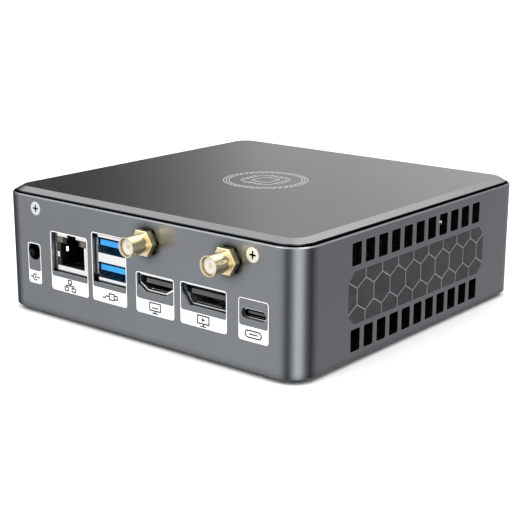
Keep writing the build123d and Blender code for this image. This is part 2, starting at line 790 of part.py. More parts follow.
lan_contact_count = 8
lan_contact_pitch = 1.27
lan_contact_size = 0.35
lan_contact_start = 3.5
lan_contact_rise = 3.2
lan_contact_lift = 0.4
with BuildPart() as lan_jack_contacts:
    for index in range(lan_contact_count):
        contact_x = lan_x + (index - (lan_contact_count - 1) / 2) * lan_contact_pitch
        contact_low = lan_cavity_low_z + lan_contact_lift
        contact_start_y = lan_face_y + lan_contact_start
        contact_end_y = lan_face_y + lan_cavity_depth
        with BuildSketch(across_width(contact_x)):
            Polygon(
                (contact_start_y, contact_low),
                (contact_end_y, contact_low + lan_contact_rise),
                (contact_end_y, contact_low + lan_contact_rise + lan_contact_size),
                (contact_start_y, contact_low + lan_contact_size),
                align=None,
            )
        extrude(amount=lan_contact_size / 2, both=True)
lan_jack_contacts.part.label = "lan_jack_contacts"
export_step(lan_jack_contacts.part, "parts/lan_jack_contacts.step")

# Two USB-A sockets in one shell.
usb_face_y = rear_y + usb_recess
usb_mouth_lows = [board_top + usb_mouth_low + index * usb_mouth_pitch for index in range(2)]
usb_back = 3.0
with BuildPart() as usb_stack_shell:
    with BuildSketch(across_depth(usb_face_y)):
        with Locations((usb_x, board_top)):
            Rectangle(usb_width, usb_height, align=(Align.CENTER, Align.MIN))
    extrude(amount=-usb_depth)
    with BuildSketch(across_depth(usb_face_y)):
        with Locations(*[(usb_x, low) for low in usb_mouth_lows]):
            Rectangle(usb_mouth_width, usb_mouth_height, align=(Align.CENTER, Align.MIN))
    extrude(amount=-(usb_depth - shell_sheet), mode=Mode.SUBTRACT)
    # Open corners of the folded front.
    with BuildSketch(across_depth(usb_face_y)):
        for side in (-1, 1):
            with Locations((usb_x + side * usb_width / 2, board_top)):
                Rectangle(usb_width - usb_mouth_width, 2 * usb_notch_low)
            with Locations((usb_x + side * usb_width / 2, board_top + usb_height)):
                Rectangle(usb_width - usb_mouth_width, 2 * usb_notch_high)
    extrude(amount=-usb_notch_depth, mode=Mode.SUBTRACT)
usb_stack_shell.part.label = "usb_stack_shell"
export_step(usb_stack_shell.part, "parts/usb_stack_shell.step")


def usb_tongues(mouth_spots, face_y, mouth_depth):
    """Adds, in each mouth, a tongue that stands out of a block closing the mouth's back."""
    for mouth_x, mouth_low_z in mouth_spots:
        back_y = face_y + mouth_depth
        with Locations((mouth_x, back_y, mouth_low_z + usb_mouth_height / 2)):
            Box(usb_mouth_width - 2 * insert_gap, usb_back, usb_mouth_height - 2 * insert_gap,
                align=(Align.CENTER, Align.MAX, Align.CENTER))
        with Locations((mouth_x, back_y, mouth_low_z + usb_mouth_height - usb_tongue_drop)):
            Box(usb_tongue_width, mouth_depth - usb_tongue_recess, usb_tongue_height,
                align=(Align.CENTER, Align.MAX, Align.MAX))


def usb_contacts(mouth_spots, face_y):
    """Adds four flat contacts under each tongue, just clear of it."""
    for mouth_x, mouth_low_z in mouth_spots:
        under_z = mouth_low_z + usb_mouth_height - usb_tongue_drop - usb_tongue_height
        with Locations((mouth_x, face_y + usb_tongue_recess + usb_contact_setback, under_z)):
            with GridLocations(usb_contact_pitch, 1, 4, 1):
                Box(usb_contact_width, usb_contact_length, usb_contact_thickness,
                    align=(Align.CENTER, Align.MIN, Align.MAX))


stack_spots = [(usb_x, low) for low in usb_mouth_lows]
with BuildPart() as usb_stack_tongues:
    usb_tongues(stack_spots, usb_face_y, usb_depth - shell_sheet)
usb_stack_tongues.part.label = "usb_stack_tongues"
export_step(usb_stack_tongues.part, "parts/usb_stack_tongues.step")

with BuildPart() as usb_stack_contacts:
    usb_contacts(stack_spots, usb_face_y)
usb_stack_contacts.part.label = "usb_stack_contacts"
export_step(usb_stack_contacts.part, "parts/usb_stack_contacts.step")

# Video socket A: both lower corners cut.
video_a_face_y = rear_y + video_a_recess
video_a_shape = (
    video_a_x, video_a_width, video_a_low, video_a_high, video_a_cut_x, video_a_cut_x, video_a_cut_z,
)
video_tongue_recess = 1.2
video_back = 2.5
video_a_foot = 8.0
video_b_foot = 9.0
video_foot_setback = 1.0
with BuildPart() as video_a_shell:
    with BuildSketch(across_depth(video_a_face_y)):
        Polygon(*corner_cut_outline(*video_a_shape, inset=port_clearance), align=None)
        Polygon(*corner_cut_outline(*video_a_shape, inset=port_clearance + shell_sheet), align=None,
                mode=Mode.SUBTRACT)
    extrude(amount=-video_a_depth)
    # Feet that hold the shell off the board, behind the panel.
    with BuildSketch(level(board_top)):
        with Locations((video_a_x, inner_rear_y + board_gap + video_foot_setback)):
            Rectangle(video_a_foot, video_a_foot, align=(Align.CENTER, Align.MIN))
    extrude(amount=video_a_low + port_clearance - board_top)
video_a_shell.part.label = "video_a_shell"
export_step(video_a_shell.part, "parts/video_a_shell.step")

video_a_tongue = (11.2, 1.5)
video_a_tongue_z = video_a_high - 2.6
with BuildPart() as video_a_tongue_block:
    with BuildSketch(across_depth(video_a_face_y + video_a_depth)):
        Polygon(
            *corner_cut_outline(*video_a_shape, inset=port_clearance + shell_sheet + insert_gap),
            align=None,
        )
    extrude(amount=video_back)
    with BuildSketch(across_depth(video_a_face_y + video_a_depth)):
        with Locations((video_a_x, video_a_tongue_z)):
            Rectangle(*video_a_tongue)
    extrude(amount=video_a_depth - video_tongue_recess)
video_a_tongue_block.part.label = "video_a_tongue"
export_step(video_a_tongue_block.part, "parts/video_a_tongue.step")

# Video socket B: wider, with one lower corner cut.
video_b_face_y = rear_y + video_b_recess
video_b_shape = (video_b_x, video_b_width, video_b_low, video_b_high, video_b_cut_x, 0.0, video_b_cut_z)
with BuildPart() as video_b_shell:
    with BuildSketch(across_depth(video_b_face_y)):
        Polygon(*corner_cut_outline(*video_b_shape, inset=port_clearance), align=None)
        Polygon(*corner_cut_outline(*video_b_shape, inset=port_clearance + shell_sheet), align=None,
                mode=Mode.SUBTRACT)
    extrude(amount=-video_b_depth)
    with BuildSketch(level(board_top)):
        with Locations((video_b_x, inner_rear_y + board_gap + video_foot_setback)):
            Rectangle(video_b_foot, video_b_foot, align=(Align.CENTER, Align.MIN))
    extrude(amount=video_b_low + port_clearance - board_top)
video_b_shell.part.label = "video_b_shell"
export_step(video_b_shell.part, "parts/video_b_shell.step")

video_b_tongue = (13.6, 1.5)
video_b_tongue_z = video_b_high - 2.8
with BuildPart() as video_b_tongue_block:
    with BuildSketch(across_depth(video_b_face_y + video_b_depth)):
        Polygon(
            *corner_cut_outline(*video_b_shape, inset=port_clearance + shell_sheet + insert_gap),
            align=None,
        )
    extrude(amount=video_back)
    with BuildSketch(across_depth(video_b_face_y + video_b_depth)):
        with Locations((video_b_x, video_b_tongue_z)):
            Rectangle(*video_b_tongue)
    extrude(amount=video_b_depth - video_tongue_recess)
video_b_tongue_block.part.label = "video_b_tongue"
export_step(video_b_tongue_block.part, "parts/video_b_tongue.step")

# Small reversible socket.
usbc_face_y = rear_y + usbc_recess
usbc_back = 2.0
usbc_tongue = (6.7, 0.7)
usbc_tongue_recess = 0.8
usbc_width = usbc_cut_width - 2 * usbc_clearance
usbc_height = usbc_cut_height - 2 * usbc_clearance
usbc_foot = 5.0
with BuildPart() as usb_c_shell:
    with BuildSketch(across_depth(usbc_face_y)):
        with Locations((usbc_x, usbc_z)):
            SlotOverall(usbc_width, usbc_height)
            SlotOverall(usbc_width - 2 * usbc_sheet, usbc_height - 2 * usbc_sheet, mode=Mode.SUBTRACT)
    extrude(amount=-usbc_depth)
    with BuildSketch(level(board_top)):
        with Locations((usbc_x, inner_rear_y + board_gap + 0.5)):
            Rectangle(usbc_foot, usbc_foot - 1.0, align=(Align.CENTER, Align.MIN))
    extrude(amount=usbc_z - usbc_height / 2 + usbc_sheet / 2 - board_top)
usb_c_shell.part.label = "usb_c_shell"
export_step(usb_c_shell.part, "parts/usb_c_shell.step")

with BuildPart() as usb_c_tongue:
    with BuildSketch(across_depth(usbc_face_y + usbc_depth)):
        with Locations((usbc_x, usbc_z)):
            SlotOverall(
                usbc_width - 2 * (usbc_sheet + insert_gap),
                usbc_height - 2 * (usbc_sheet + insert_gap),
            )
    extrude(amount=usbc_back)
    with BuildSketch(across_depth(usbc_face_y + usbc_depth)):
        with Locations((usbc_x, usbc_z)):
            Rectangle(*usbc_tongue)
    extrude(amount=usbc_depth - usbc_tongue_recess)
usb_c_tongue.part.label = "usb_c_tongue"
export_step(usb_c_tongue.part, "parts/usb_c_tongue.step")

# ---------------------------------------------------------------- antenna connectors
antenna_spots = [(x, antenna_z) for x in antenna_xs]
antenna_tip_y = rear_y - antenna_reach
nut_face_y = rear_y - washer_thickness - nut_thickness
antenna_tail_y = inner_rear_y + antenna_flange_thickness
antenna_step_y = antenna_tip_y + antenna_bore_depth
with BuildPart() as antenna_barrels:
    with BuildSketch(across_depth(antenna_tip_y)):
        with Locations(*antenna_spots):
            Circle(antenna_radius)
    extrude(amount=-(nut_face_y - antenna_tip_y))
    with BuildSketch(across_depth(nut_face_y)):
        with Locations(*antenna_spots):
            Circle(antenna_neck_radius)
    extrude(amount=-(antenna_tail_y - nut_face_y))
    with BuildSketch(across_depth(inner_rear_y)):
        with Locations(*antenna_spots):
            Circle(antenna_flange_radius)
    extrude(amount=-antenna_flange_thickness)
    with BuildSketch(across_depth(antenna_tail_y)):
        with Locations(*antenna_spots):
            Circle(antenna_tail_radius)
    extrude(amount=-antenna_tail_length)
    with BuildSketch(across_depth(antenna_tip_y)):
        with Locations(*antenna_spots):
            Circle(antenna_bore_radius)
    extrude(amount=-antenna_bore_depth, mode=Mode.SUBTRACT)
    with BuildSketch(across_depth(antenna_step_y)):
        with Locations(*antenna_spots):
            Circle(antenna_neck_bore_radius)
    extrude(amount=-(inner_rear_y - antenna_step_y), mode=Mode.SUBTRACT)
antenna_barrels.part.label = "antenna_barrels"
export_step(antenna_barrels.part, "parts/antenna_barrels.step")

with BuildPart() as antenna_insulators:
    with BuildSketch(across_depth(antenna_tip_y + antenna_cup_depth)):
        with Locations(*antenna_spots):
            Circle(antenna_bore_radius - insert_gap)
            Circle(contact_radius + insert_gap, mode=Mode.SUBTRACT)
    extrude(amount=-(antenna_bore_depth - antenna_cup_depth))
    with BuildSketch(across_depth(antenna_step_y)):
        with Locations(*antenna_spots):
            Circle(antenna_neck_bore_radius - insert_gap)
            Circle(contact_radius + insert_gap, mode=Mode.SUBTRACT)
    extrude(amount=-(inner_rear_y - antenna_step_y))
antenna_insulators.part.label = "antenna_insulators"
export_step(antenna_insulators.part, "parts/antenna_insulators.step")

with BuildPart() as antenna_contacts:
    with BuildSketch(across_depth(antenna_tip_y + antenna_cup_depth)):
        with Locations(*antenna_spots):
            Circle(contact_radius)
    extrude(amount=-(inner_rear_y - antenna_tip_y - antenna_cup_depth))
antenna_contacts.part.label = "antenna_contacts"
export_step(antenna_contacts.part, "parts/antenna_contacts.step")

with BuildPart() as antenna_washers:
    with BuildSketch(across_depth(rear_y)):
        with Locations(*antenna_spots):
            Circle(washer_radius)
            Circle(antenna_hole_radius, mode=Mode.SUBTRACT)
    extrude(amount=washer_thickness)
antenna_washers.part.label = "antenna_washers"
export_step(antenna_washers.part, "parts/antenna_washers.step")

nut_chamfer = 0.25
with BuildPart() as antenna_nuts:
    with BuildSketch(across_depth(rear_y - washer_thickness)):
        with Locations(*antenna_spots):
            RegularPolygon(nut_flats / 2, 6, major_radius=False)
    extrude(amount=nut_thickness)
    chamfer(antenna_nuts.faces().sort_by(Axis.Y)[:len(antenna_spots)].edges(), nut_chamfer)
    with BuildSketch(across_depth(rear_y - washer_thickness)):
        with Locations(*antenna_spots):
            Circle(antenna_neck_radius + insert_gap)
    extrude(amount=nut_thickness, mode=Mode.SUBTRACT)
antenna_nuts.part.label = "antenna_nuts"
export_step(antenna_nuts.part, "parts/antenna_nuts.step")

# ---------------------------------------------------------------- front wall
button_inner_y = inner_front_y - button_stand_off
button_back_y = button_inner_y - button_flange
plunger_tip_y = button_back_y - button_stem
switch_face_y = plunger_tip_y - plunger_reach
with BuildPart() as power_button:
    with BuildSketch(across_depth(button_back_y)):
        with Locations((button_x, button_z)):
            Circle(button_flange_radius)
    extrude(amount=-button_flange)
    with BuildSketch(across_depth(button_inner_y)):
        with Locations((button_x, button_z)):
            Circle(button_radius)
    extrude(amount=-(front_y + button_reach - button_inner_y))
    fillet(power_button.faces().sort_by(Axis.Y)[-1].edges(), 0.3)
    with BuildSketch(across_depth(button_back_y)):
        with Locations((button_x, button_z)):
            Circle(button_stem_radius)
    extrude(amount=button_stem)
power_button.part.label = "power_button"
export_step(power_button.part, "parts/power_button.step")

with BuildPart() as power_switch_plunger:
    with BuildSketch(across_depth(plunger_tip_y)):
        with Locations((button_x, button_z)):
            Circle(plunger_radius)
    extrude(amount=plunger_length)
power_switch_plunger.part.label = "power_switch_plunger"
export_step(power_switch_plunger.part, "parts/power_switch_plunger.step")

switch_bore_depth = plunger_length - plunger_reach + button_travel + 0.3
with BuildPart() as power_switch_body:
    with BuildSketch(level(board_top)):
        with Locations((button_x, switch_face_y)):
            Rectangle(switch_size, switch_depth, align=(Align.CENTER, Align.MAX))
    extrude(amount=button_z + switch_size / 2 - board_top)
    with BuildSketch(across_depth(switch_face_y)):
        with Locations((button_x, button_z)):
            Circle(plunger_radius + plunger_clearance)
    extrude(amount=switch_bore_depth, mode=Mode.SUBTRACT)
power_switch_body.part.label = "power_switch_body"
export_step(power_switch_body.part, "parts/power_switch_body.step")

pipe_leg = 2.0
lamp_height = 0.8
lamp_gap = 0.2
pipe_leg_low_z = board_top + lamp_height + lamp_gap
with BuildPart() as light_pipe:
    with BuildSketch(across_depth(front_y)):
        with Locations((pipe_x, button_z)):
            Circle(pipe_radius)
    extrude(amount=pipe_length)
    with BuildSketch(level(pipe_leg_low_z)):
        with Locations((pipe_x, front_y - pipe_length)):
            Rectangle(pipe_leg, pipe_leg, align=(Align.CENTER, Align.MIN))
    extrude(amount=button_z + pipe_radius - pipe_leg_low_z)
light_pipe.part.label = "light_pipe"
export_step(light_pipe.part, "parts/light_pipe.step")

with BuildPart() as power_lamp:
    with BuildSketch(level(board_top)):
        with Locations((pipe_x, front_y - pipe_length)):
            Rectangle(pipe_leg, pipe_leg, align=(Align.CENTER, Align.MIN))
    extrude(amount=lamp_height)
power_lamp.part.label = "power_lamp"
export_step(power_lamp.part, "parts/power_lamp.step")

# Single USB-A sockets. They are the stack's sockets, turned to face the front.
front_usb_face_y = front_y - front_usb_recess
front_usb_low_z = board_top
front_usb_width = front_usb_cut_width - 2 * port_clearance
front_usb_height = front_usb_cut_height - port_clearance
front_mouth_low = (front_usb_height - usb_mouth_height) / 2
with BuildPart() as front_usb_shells:
    with BuildSketch(across_depth(front_usb_face_y)):
        with Locations(*[(x, front_usb_low_z) for x in front_usb_xs]):
            Rectangle(front_usb_width, front_usb_height, align=(Align.CENTER, Align.MIN))
    extrude(amount=front_usb_depth)
    with BuildSketch(across_depth(front_usb_face_y)):
        with Locations(*[(x, front_usb_low_z + front_mouth_low) for x in front_usb_xs]):
            Rectangle(usb_mouth_width, usb_mouth_height, align=(Align.CENTER, Align.MIN))
    extrude(amount=front_usb_depth - shell_sheet, mode=Mode.SUBTRACT)
front_usb_shells.part.label = "front_usb_shells"
export_step(front_usb_shells.part, "parts/front_usb_shells.step")

front_mouth_depth = front_usb_depth - shell_sheet
front_mouth_z = front_usb_low_z + front_mouth_low
with BuildPart() as front_usb_tongues:
    for mouth_x in front_usb_xs:
        with Locations((mouth_x, front_usb_face_y - front_mouth_depth, front_mouth_z + usb_mouth_height / 2)):
            Box(usb_mouth_width - 2 * insert_gap, usb_back, usb_mouth_height - 2 * insert_gap,
                align=(Align.CENTER, Align.MIN, Align.CENTER))
        with Locations((mouth_x, front_usb_face_y - front_mouth_depth,
                        front_mouth_z + usb_mouth_height - usb_tongue_drop)):
            Box(usb_tongue_width, front_mouth_depth - usb_tongue_recess, usb_tongue_height,
                align=(Align.CENTER, Align.MIN, Align.MAX))
front_usb_tongues.part.label = "front_usb_tongues"
export_step(front_usb_tongues.part, "parts/front_usb_tongues.step")

with BuildPart() as audio_jack:
    with BuildSketch(across_depth(inner_front_y - port_clearance)):
        with Locations((audio_x, audio_z)):
            Rectangle(audio_body_width, 2 * (audio_z - board_top))
    extrude(amount=audio_body_depth)
    with BuildSketch(across_depth(front_y - port_clearance)):
        with Locations((audio_x, audio_z)):
            Circle(audio_collar_radius)
    extrude(amount=wall)
    with BuildSketch(across_depth(front_y - port_clearance)):
        with Locations((audio_x, audio_z)):
            Circle(audio_bore_radius)
    extrude(amount=audio_bore_depth, mode=Mode.SUBTRACT)
audio_jack.part.label = "audio_jack"
export_step(audio_jack.part, "parts/audio_jack.step")

# ---------------------------------------------------------------- cards on the main board
card_thickness = 0.8
card_width = 22.0
card_screw_head_height = 0.9
card_screw_radius = 0.95
card_post_radius = 2.4
card_notch_radius = 2.6
socket_reach = 8.7
socket_bite = 3.5

# Wireless card, flat over the board's upper side, its long side along X.
radio_lift = 2.4
radio_length = 30.0
radio_socket_x = 18.0
radio_y = -36.0
radio_low_z = board_top + radio_lift
radio_end_x = radio_socket_x + radio_length
radio_socket_height = 4.2
radio_can = (12.0, 14.0, 1.4)
radio_jack_radius = 1.0
radio_jack_height = 0.8
radio_jack_x = radio_end_x - 4.0
radio_jack_ys = (radio_y - 7.5, radio_y + 7.5)
with BuildPart() as wireless_card:
    with BuildSketch(level(radio_low_z)):
        with Locations((radio_socket_x, radio_y)):
            Rectangle(radio_length, card_width, align=(Align.MIN, Align.CENTER))
        with Locations((radio_end_x, radio_y)):
            Circle(card_notch_radius, mode=Mode.SUBTRACT)
    extrude(amount=card_thickness)
    with BuildSketch(level(radio_low_z + card_thickness)):
        with Locations((radio_socket_x + radio_length / 2 - 1.0, radio_y)):
            Rectangle(radio_can[0], radio_can[1])
    extrude(amount=radio_can[2])
    with BuildSketch(level(radio_low_z + card_thickness)):
        with Locations(*[(radio_jack_x, y) for y in radio_jack_ys]):
            Circle(radio_jack_radius)
    extrude(amount=radio_jack_height)
wireless_card.part.label = "wireless_card"
export_step(wireless_card.part, "parts/wireless_card.step")

with BuildPart() as wireless_socket:
    with BuildSketch(level(board_top)):
        with Locations((radio_socket_x + socket_bite, radio_y)):
            Rectangle(socket_reach, card_width, align=(Align.MAX, Align.CENTER))
    extrude(amount=radio_socket_height)
    with BuildSketch(level(radio_low_z - insert_gap)):
        with Locations((radio_socket_x - insert_gap, radio_y)):
            Rectangle(radio_length, card_width, align=(Align.MIN, Align.CENTER))
    extrude(amount=card_thickness + 2 * insert_gap, mode=Mode.SUBTRACT)
wireless_socket.part.label = "wireless_socket"
export_step(wireless_socket.part, "parts/wireless_socket.step")

# Solid-state drive, under the board, its long side along Y.
drive_drop = 2.1
drive_length = 80.0
drive_x = 33.0
drive_socket_y = 39.0
drive_high_z = board_bottom - drive_drop
drive_end_y = drive_socket_y - drive_length
drive_chip = (14.0, 18.0, 1.2)
with BuildPart() as solid_state_drive:
    with BuildSketch(level(drive_high_z)):
        with Locations((drive_x, drive_socket_y)):
            Rectangle(card_width, drive_length, align=(Align.CENTER, Align.MAX))
        with Locations((drive_x, drive_end_y)):
            Circle(card_notch_radius, mode=Mode.SUBTRACT)
    extrude(amount=-card_thickness)
    with BuildSketch(level(drive_high_z - card_thickness)):
        with Locations((drive_x, drive_socket_y - drive_length / 2)):
            with GridLocations(1, drive_chip[1] + 4.0, 1, 3):
                Rectangle(drive_chip[0], drive_chip[1])
    extrude(amount=-drive_chip[2])
solid_state_drive.part.label = "solid_state_drive"
export_step(solid_state_drive.part, "parts/solid_state_drive.step")

drive_socket_height = 4.0
with BuildPart() as drive_socket:
    with BuildSketch(level(board_bottom)):
        with Locations((drive_x, drive_socket_y - socket_bite)):
            Rectangle(card_width, socket_reach, align=(Align.CENTER, Align.MIN))
    extrude(amount=-drive_socket_height)
    with BuildSketch(level(drive_high_z + insert_gap)):
        with Locations((drive_x, drive_socket_y + insert_gap)):
            Rectangle(card_width, drive_length, align=(Align.CENTER, Align.MAX))
    extrude(amount=-(card_thickness + 2 * insert_gap), mode=Mode.SUBTRACT)
drive_socket.part.label = "drive_socket"
export_step(drive_socket.part, "parts/drive_socket.step")

# Threaded standoffs soldered into the board: one for each card, and four for the heat sink.
with BuildPart() as board_standoffs:
    with BuildSketch(level(board_top)):
        with Locations(*sink_spots):
            Circle(standoff_radius)
            Circle(sink_screw_radius + thread_gap, mode=Mode.SUBTRACT)
    extrude(amount=sink_low_z - board_top)
    with BuildSketch(level(board_top)):
        with Locations((radio_end_x, radio_y)):
            Circle(card_post_radius)
            Circle(card_screw_radius + thread_gap, mode=Mode.SUBTRACT)
    extrude(amount=radio_lift + card_thickness)
    with BuildSketch(level(board_bottom)):
        with Locations((drive_x, drive_end_y)):
            Circle(card_post_radius)
            Circle(card_screw_radius + thread_gap, mode=Mode.SUBTRACT)
    extrude(amount=-(drive_drop + card_thickness))
board_standoffs.part.label = "board_standoffs"
export_step(board_standoffs.part, "parts/board_standoffs.step")

card_head_overlap = 1.2
with BuildPart() as card_screws:
    with Locations((radio_end_x, radio_y, radio_low_z + card_thickness),
                   Location((drive_x, drive_end_y, drive_high_z - card_thickness), (180, 0, 0))):
        pan_screw(
            card_notch_radius + card_head_overlap, card_screw_head_height, card_screw_radius, radio_lift,
        )
card_screws.part.label = "card_screws"
export_step(card_screws.part, "parts/card_screws.step")

# Memory module, under the board, held by the arms of its socket.
memory_x = -18.0
memory_edge_y = 36.0
memory_length = 67.6
memory_width = 30.0
memory_thickness = 1.0
memory_drop = 3.6
memory_high_z = board_bottom - memory_drop
memory_chip = (11.0, 9.0, 1.0)
memory_socket_height = 5.2
memory_socket_reach = 6.3
memory_bite = 2.5
memory_arm = 2.6
with BuildPart() as memory_module:
    with BuildSketch(level(memory_high_z)):
        with Locations((memory_x, memory_edge_y)):
            Rectangle(memory_length, memory_width, align=(Align.CENTER, Align.MAX))
    extrude(amount=-memory_thickness)
    with BuildSketch(level(memory_high_z - memory_thickness)):
        with Locations((memory_x, memory_edge_y - memory_width / 2 - memory_bite / 2)):
            with GridLocations(memory_chip[0] + 5.0, memory_chip[1] + 3.0, 4, 2):
                Rectangle(memory_chip[0], memory_chip[1])
    extrude(amount=-memory_chip[2])
memory_module.part.label = "memory_module"
export_step(memory_module.part, "parts/memory_module.step")

with BuildPart() as memory_socket:
    with BuildSketch(level(board_bottom)):
        with Locations((memory_x, memory_edge_y - memory_bite)):
            Rectangle(memory_length + 2 * memory_arm + 2 * insert_gap, memory_socket_reach,
                      align=(Align.CENTER, Align.MIN))
        arm_x = (memory_length + memory_arm) / 2 + insert_gap
        with Locations((memory_x - arm_x, memory_edge_y), (memory_x + arm_x, memory_edge_y)):
            Rectangle(memory_arm, memory_width, align=(Align.CENTER, Align.MAX))
    extrude(amount=-memory_socket_height)
    with BuildSketch(level(memory_high_z + insert_gap)):
        with Locations((memory_x, memory_edge_y + insert_gap)):
            Rectangle(memory_length + 2 * insert_gap, memory_width, align=(Align.CENTER, Align.MAX))
    extrude(amount=-(memory_thickness + 2 * insert_gap), mode=Mode.SUBTRACT)
memory_socket.part.label = "memory_socket"
export_step(memory_socket.part, "parts/memory_socket.step")

# Clock battery in its holder, under the board.
cell_centre = (-22.0, -26.0)
cell_radius = 10.0
cell_thickness = 3.2
cell_floor = 1.0
holder_radius = 11.5
with BuildPart() as cell_holder:
    with BuildSketch(level(board_bottom)):
        with Locations(cell_centre):
            Circle(holder_radius)
    extrude(amount=-(cell_floor + cell_thickness * 0.8))
    with BuildSketch(level(board_bottom - cell_floor)):
        with Locations(cell_centre):
            Circle(cell_radius + insert_gap)
    extrude(amount=-cell_thickness, mode=Mode.SUBTRACT)
cell_holder.part.label = "cell_holder"
export_step(cell_holder.part, "parts/cell_holder.step")

with BuildPart() as clock_cell:
    with BuildSketch(level(board_bottom - cell_floor)):
        with Locations(cell_centre):
            Circle(cell_radius)
    extrude(amount=-cell_thickness)
    chamfer(clock_cell.faces().sort_by(Axis.Z)[0].edges(), 0.4)
clock_cell.part.label = "clock_cell"
export_step(clock_cell.part, "parts/clock_cell.step")

# Power parts on the upper side of the board: chokes and can capacitors, by the left wall.
choke_size = 7.0
choke_height = 4.0
choke_spots = [(-52.0, y) for y in (-20.0, -11.0, -2.0, 7.0)]
can_radius = 3.1
can_height = 5.8
can_spots = [(-53.0, y) for y in (18.0, 26.0, 34.0)]
with BuildPart() as power_chokes:
    with BuildSketch(level(board_top)):
        with Locations(*choke_spots):
            RectangleRounded(choke_size, choke_size, 0.8)
    extrude(amount=choke_height)
power_chokes.part.label = "power_chokes"
export_step(power_chokes.part, "parts/power_chokes.step")

with BuildPart() as can_capacitors:
    with BuildSketch(level(board_top)):
        with Locations(*can_spots):
            Circle(can_radius)
    extrude(amount=can_height)
    fillet(can_capacitors.faces().sort_by(Axis.Z)[-len(can_spots):].edges(), 0.4)
can_capacitors.part.label = "can_capacitors"
export_step(can_capacitors.part, "parts/can_capacitors.step")

# ---------------------------------------------------------------- leads inside the case


def bend_radii(points):
    """Bend radius at each inner point of a route, as large as its two straight runs allow."""
    corners = [Vector(*point) for point in points]
    radii = []
    for before, here, after in zip(corners, corners[1:], corners[2:]):
        turn = (here - before).get_angle(after - here)
        shorter = min((here - before).length, (after - here).length)
        radii.append(0.45 * shorter / tan(radians(turn / 2)))
    return radii


pigtail_radius = 0.6
plug_radius = 1.5
plug_height = 1.2
plug_low_z = radio_low_z + card_thickness + radio_jack_height
plug_high_z = plug_low_z + plug_height
pigtail_start_y = antenna_tail_y + antenna_tail_length
near_jack = (radio_jack_x, radio_jack_ys[0])
far_jack = (radio_jack_x, radio_jack_ys[1])
pigtail_routes = [
    [
        (antenna_xs[1], pigtail_start_y, antenna_z),
        (antenna_xs[1] + 0.9, pigtail_start_y + 6.0, antenna_z - 0.8),
        (near_jack[0] - 1.4, near_jack[1] - 1.7, plug_high_z + 8.6),
        (near_jack[0], near_jack[1], plug_high_z + 4.6),
        (near_jack[0], near_jack[1], plug_high_z),
    ],
    [
        (antenna_xs[0], pigtail_start_y, antenna_z),
        (antenna_xs[0] + 2.0, pigtail_start_y + 9.0, antenna_z - 0.5),
        (antenna_xs[0] + 12.0, pigtail_start_y + 17.0, antenna_z - 1.5),
        (antenna_xs[0] + 27.0, pigtail_start_y + 24.0, antenna_z - 3.5),
        (far_jack[0] - 2.0, far_jack[1] + 1.0, antenna_z - 6.0),
        (far_jack[0], far_jack[1], plug_high_z + 4.0),
        (far_jack[0], far_jack[1], plug_high_z),
    ],
]
with BuildPart() as antenna_pigtails:
    for route in pigtail_routes:
        print("pigtail radii", [round(radius, 1) for radius in bend_radii(route)])
        with BuildLine() as pigtail_path:
            FilletPolyline(*route, radius=bend_radii(route))
        with BuildSketch(Plane(pigtail_path.line @ 0, z_dir=pigtail_path.line % 0)):
            Circle(pigtail_radius)
        sweep(path=pigtail_path.line)
antenna_pigtails.part.label = "antenna_pigtails"
export_step(antenna_pigtails.part, "parts/antenna_pigtails.step")

with BuildPart() as pigtail_plugs:
    with BuildSketch(level(plug_low_z)):
        with Locations(near_jack, far_jack):
            Circle(plug_radius)
    extrude(amount=plug_height)
pigtail_plugs.part.label = "pigtail_plugs"
export_step(pigtail_plugs.part, "parts/pigtail_plugs.step")

fan_header_size = (5.0, 10.0, 5.5)
fan_header_spot = (53.0, 12.0)
fan_lead_radius = 0.9
fan_side_x = sink_centre[0] + fan_size / 2
fan_lead_y = sink_centre[1] + 20.0
fan_lead_z = (fan_low_z + fan_high_z) / 2
header_high_z = board_top + fan_header_size[2]
fan_lead_route = [
    (fan_side_x, fan_lead_y, fan_lead_z),
    (fan_side_x + 8.0, fan_lead_y - 0.5, fan_lead_z + 0.5),
    (fan_header_spot[0] - 2.0, fan_lead_y - 9.0, fan_lead_z - 3.0),
    (fan_header_spot[0], fan_header_spot[1], header_high_z + 6.0),
    (fan_header_spot[0], fan_header_spot[1], header_high_z),
]
with BuildPart() as fan_header:
    with BuildSketch(level(board_top)):
        with Locations(fan_header_spot):
            Rectangle(fan_header_size[0], fan_header_size[1])
    extrude(amount=fan_header_size[2])
fan_header.part.label = "fan_header"
export_step(fan_header.part, "parts/fan_header.step")

with BuildPart() as fan_lead:
    print("fan lead radii", [round(radius, 1) for radius in bend_radii(fan_lead_route)])
    with BuildLine() as lead_path:
        FilletPolyline(*fan_lead_route, radius=bend_radii(fan_lead_route))
    with BuildSketch(Plane(lead_path.line @ 0, z_dir=lead_path.line % 0)):
        Circle(fan_lead_radius)
    sweep(path=lead_path.line)
fan_lead.part.label = "fan_lead"
export_step(fan_lead.part, "parts/fan_lead.step")
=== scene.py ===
"""Looks of the mini PC: studio, camera, materials, printed labels and emblem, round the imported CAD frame.

Everything is in metres in the frame's own axes: +Z up, -Y towards the connector panel.
mm() turns millimetres into metres.
"""
import json
import math

import bmesh
import bpy
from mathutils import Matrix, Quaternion, Vector


